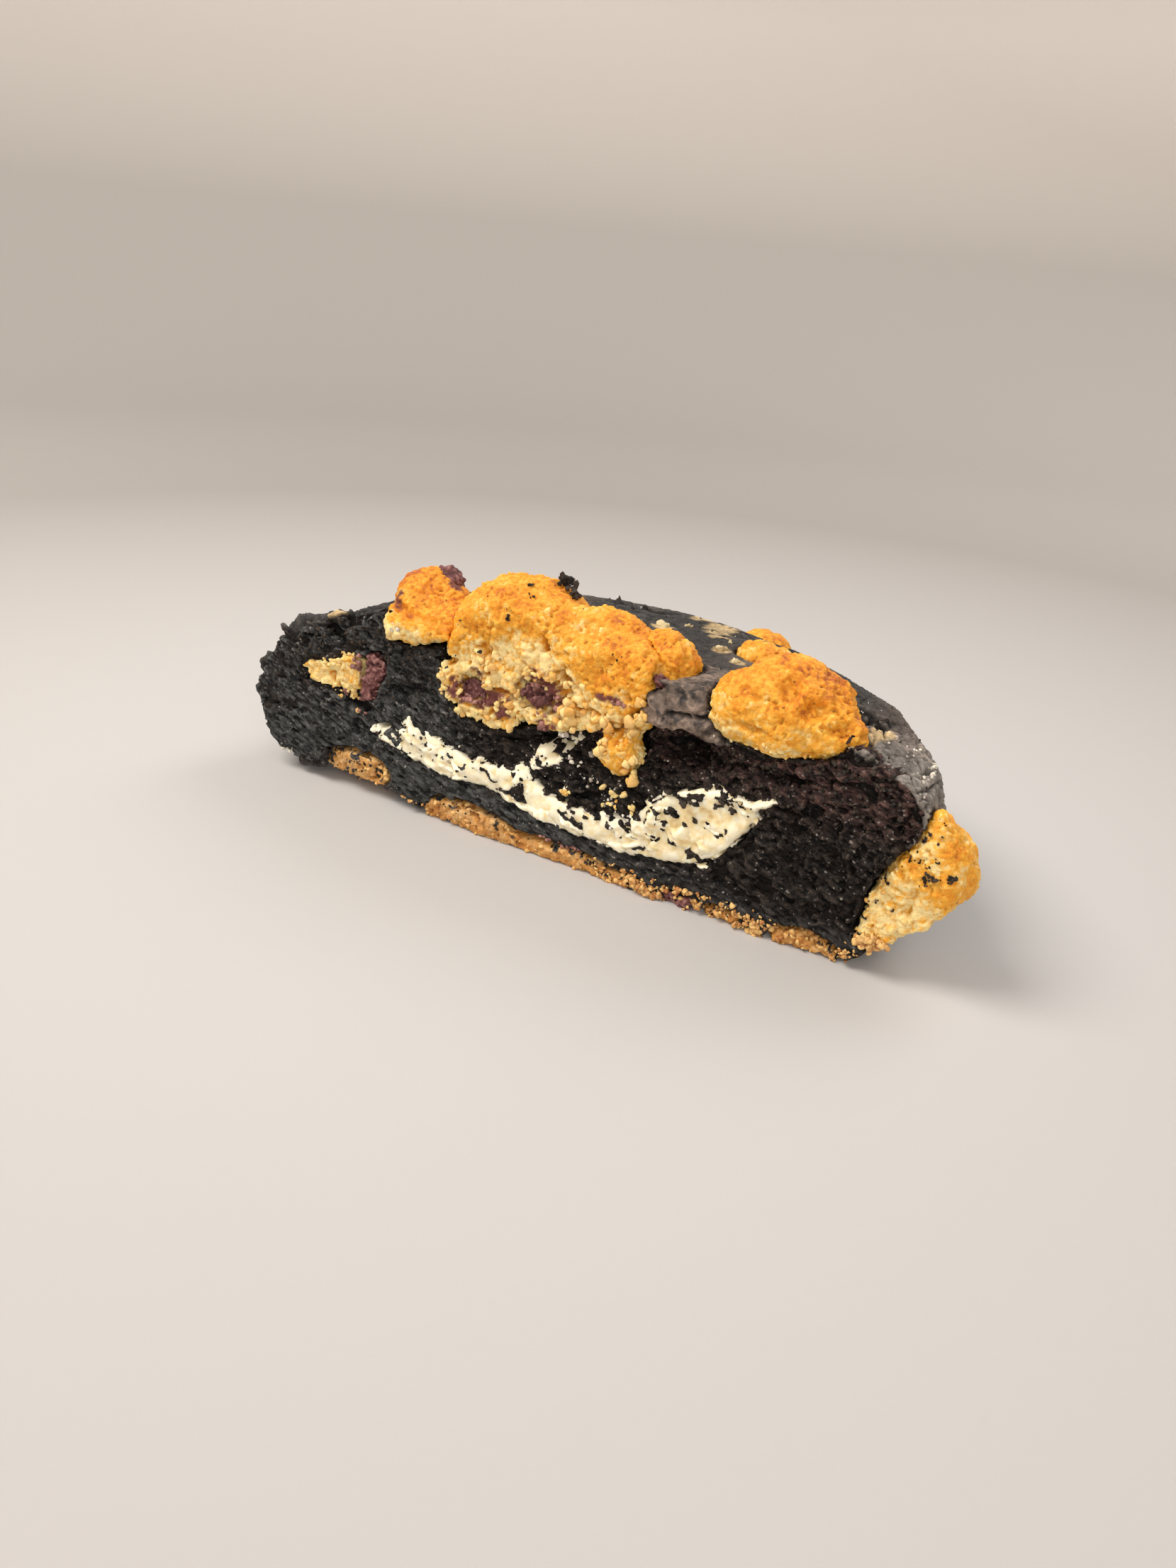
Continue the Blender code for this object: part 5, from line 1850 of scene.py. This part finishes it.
@dataclass
class LooseCrumbs:
    """All that lies loose on the cookie, one heap for each stuff."""

    body: Skin
    torn: Skin  # the torn face
    cream: Skin  # the filling's front
    dough: dict[str, Skin]  # the chunks by their CAD node's name
    ground: list[BVHTree] = field(default_factory=list)  # what the piles lie on

    def heaps(self) -> list[Heap]:
        """All heaps, not yet built."""
        self.ground = [skin.tree() for skin in (self.body, self.torn, self.cream, *self.dough.values())]
        return [self.black(), self.granules(), self.pale(), self.toasted(), self.pebbles(), self.chips()]

    def black(self) -> Heap:
        """Black crumbs: over the torn face and the crust, on the cream and the dough, and in piles."""
        stuff = LooseGrain("cocoa_crumbs_loose", "#0B0908", "#40372F", 0.65, 0.25)
        heap = Heap("black_crumbs", stuff, Slot.CRUMB, 301, rounds=0, faceted=True)
        heap.scatter(self.torn, 1900, lambda p, n: (n[:, 1] < -0.3) * smoothstep(4.0, 9.0, p[:, 2]), 0.1, 0.4)
        heap.scatter(self.body, 400, lambda p, n: n[:, 2] > 0.1, 0.1, 0.3)
        strip: Share = lambda p, n: (
            in_front(p, n) * smoothstep(18.0, 6.0, p[:, 0]) * smoothstep(6.0, 9.0, p[:, 2])
        )
        heap.scatter(self.cream, 60, strip, 0.1, 0.42, joined=3)
        block: Share = lambda p, n: in_front(p, n) * (p[:, 0] > 14) * smoothstep(9.0, 14.0, p[:, 2])
        heap.scatter(self.cream, 12, block, 0.12, 0.5, joined=3)
        heap.scatter(self.dough["chunk_middle"], 24, in_front, 0.1, 0.3, joined=2)
        edge = Noise(Seed.PATCH_EDGE)
        edges: Share = lambda p, n: in_front(p, n) * smoothstep(1.0, 4.0, p[:, 2] + 2.4 * edge.soft(p, 2.0))
        for k, count in enumerate((80, 70, 16, 24), 1):
            heap.scatter(self.dough[f"base_patch_{k}"], count, edges, 0.12, 0.38, joined=2)
        heap.clumps(self.ground, BLACK_PILES)
        return heap

    def granules(self) -> Heap:
        """Granules of cut dough: along the foot of the broken chunk and wherever dough is cut."""
        stuff = LooseGrain("cookie_dough_granules", "#DDA34C", "#F5D490", 0.55, 0.35, 0.3)
        heap = Heap("dough_granules", stuff, Slot.DOUGH, 401, knobbly=0.5)
        low: Share = lambda p, n: in_front(p, n) * smoothstep(27.0, 22.0, p[:, 2] + 0.1 * np.abs(p[:, 0]))
        end: Share = lambda p, n: (n[:, 1] < 0.2) * smoothstep(11.0, 8.0, p[:, 2] + 0.4 * (p[:, 0] - 48.0))
        for node, count, weight, small, large, sunk in (
            ("chunk_middle", 70, low, 0.2, 0.7, 0.7),
            ("chunk_middle", 26, lambda p, n: in_front(p, n) * (p[:, 2] < 20.0), 0.35, 0.8, 0.5),
            ("chunk_wedge", 40, in_front, 0.1, 0.3, 0.5),
            ("dough_crumb", 50, lambda p, n: n[:, 1] < 0.3, 0.2, 0.5, 0.5),
            ("chunk_end", 80, end, 0.14, 0.5, 0.5),
            ("chunk_right", 40, lambda p, n: in_front(p, n) * (p[:, 2] < 25.0), 0.14, 0.4, 0.5),
        ):
            heap.scatter(self.dough[node], count, weight, small, large, sunk)
        heap.clumps(self.ground, GRANULE_PILES)
        return heap

    def pale(self) -> Heap:
        """Pale crumbs of sugar and cream: over the knob's side of the cut and on the crust."""
        stuff = LooseGrain("sugar_and_cream_crumbs", "#9A8F86", "#EFE6D6", 0.5, 0.45, 0.2)
        heap = Heap("pale_crumbs", stuff, Slot.CREAM, 501, knobbly=0.5)
        heap.clumps(self.ground, PALE_PILES)
        middle: Share = lambda p, n: in_front(p, n) * bump_at(p, (8.0, CUT_Y, 12.0), (9.0, 9.0, 4.0))
        heap.scatter(self.torn, 90, middle, 0.08, 0.28)
        heap.scatter(self.body, 70, lambda p, n: (n[:, 2] > 0.1) * smoothstep(20.0, 40.0, p[:, 0]), 0.1, 0.25)
        heap.scatter(self.body, 60, lambda p, n: n[:, 2] > 0.3, 0.1, 0.25)
        return heap

    def toasted(self) -> Heap:
        """Toasted crumbs: on the patches that lay on the tray, and along the bottom edge."""
        stuff = LooseGrain("toasted_dough_crumbs", "#A5602A", "#ECBE78", 0.6, 0.35, 0.15)
        heap = Heap("toasted_crumbs", stuff, Slot.DOUGH, 701, knobbly=0.5)
        for k, count in enumerate((60, 130, 30, 60), 1):
            heap.scatter(self.dough[f"base_patch_{k}"], count, in_front, 0.14, 0.5, sunk=0.5)
        heap.scatter(self.torn, 160, lambda p, n: in_front(p, n) * (p[:, 2] < 1.8), 0.14, 0.45)
        edge = Noise(Seed.BOTTOM_EDGE)
        right: Share = lambda p, n: (
            in_front(p, n) * (p[:, 0] > 6.0) * smoothstep(3.4, 0.8, p[:, 2] + edge.soft(p, 2.5))
        )
        heap.scatter(self.torn, 220, right, 0.16, 0.5, joined=2)
        heap.clumps(self.ground, TOASTED_PILES)
        return heap

    def pebbles(self) -> Heap:
        """Smooth little heaps of butter that baked on the crust."""
        stuff = LooseGrain("butter_beads_baked", "#A58E68", "#D8C79A", 0.45, 0.5, 0.15)
        heap = Heap("crust_pebbles", stuff, Slot.DOUGH, 601, rounds=2, knobbly=0.35)
        piles = (
            (place, (0.8 * size, 0.7 * size, 0.1), 5, 0.3 * size, 0.62 * size, 0.0) for place, size in PEBBLES
        )
        heap.clumps(self.ground, piles)
        return heap

    def chips(self) -> Heap:
        """Crumbs with melted chocolate on them, round the pieces of chocolate."""
        stuff = LooseGrain("chocolate_smeared_crumbs", "#57302D", "#A5746A", 0.5, 0.4, 0.1)
        heap = Heap("chocolate_crumbs", stuff, Slot.CHOCOLATE, 801, knobbly=0.5)
        heap.clumps(self.ground, CHOCOLATE_PILES)
        return heap


def main() -> None:
    """Build the pieces in order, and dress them."""
    logging.basicConfig(level=logging.INFO, format="%(name)s %(message)s")
    low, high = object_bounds()
    PhotoCamera().create()
    Studio().build()

    body = CrumbBody()
    body.build()
    cream = CreamFilling()
    cream.build()
    chunks = dough_chunks()
    for chunk in chunks:
        chunk.build()
    chocolates = [
        ChocolatePiece(f"chocolate_{k}", f"chocolate_melted_{k}", 200 + k, swell)
        for k, swell in enumerate(CHOCOLATE_SWELLS, 1)
    ]
    for chocolate in chocolates:
        chocolate.build()
    face = CutFace()
    body.meet(tree_of([chunk.skin for chunk in chunks]))
    inlays = [piece.skin.tree() for piece in (*chunks, *chocolates)]
    face.build(body, [cream.layer.tree()], inlays)
    cream.smear([face.skin.tree()])
    dough_skins = {chunk.node: chunk.skin for chunk in chunks}
    for heap in LooseCrumbs(body.skin, face.skin, cream.front, dough_skins).heaps():
        heap.build()

    dough = CookieDough("cookie_dough_baked").build()
    base_dough = CookieDough(
        "cookie_dough_on_tray", inside="#DFB47C", yellow="#D0964F", golden="#BC7A38", brown="#8A5029"
    ).build()
    milk = MilkChocolate().build()
    cocoa = CocoaCrumb().build()
    body.dress(cocoa)
    face.dress(cocoa)
    cream.dress(BakedCream().build())
    for chunk in chunks:
        chunk.dress(base_dough if chunk.node.startswith("base_patch") else dough)
    for chocolate in chocolates:
        chocolate.dress(milk)

    new_low, new_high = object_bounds()
    sizes_found = {"cad": [list(low), list(high)], "visual": [list(new_low), list(new_high)]}
    LOG.info("sizes %s", sizes_found)


if __name__ == "__main__":
    main()
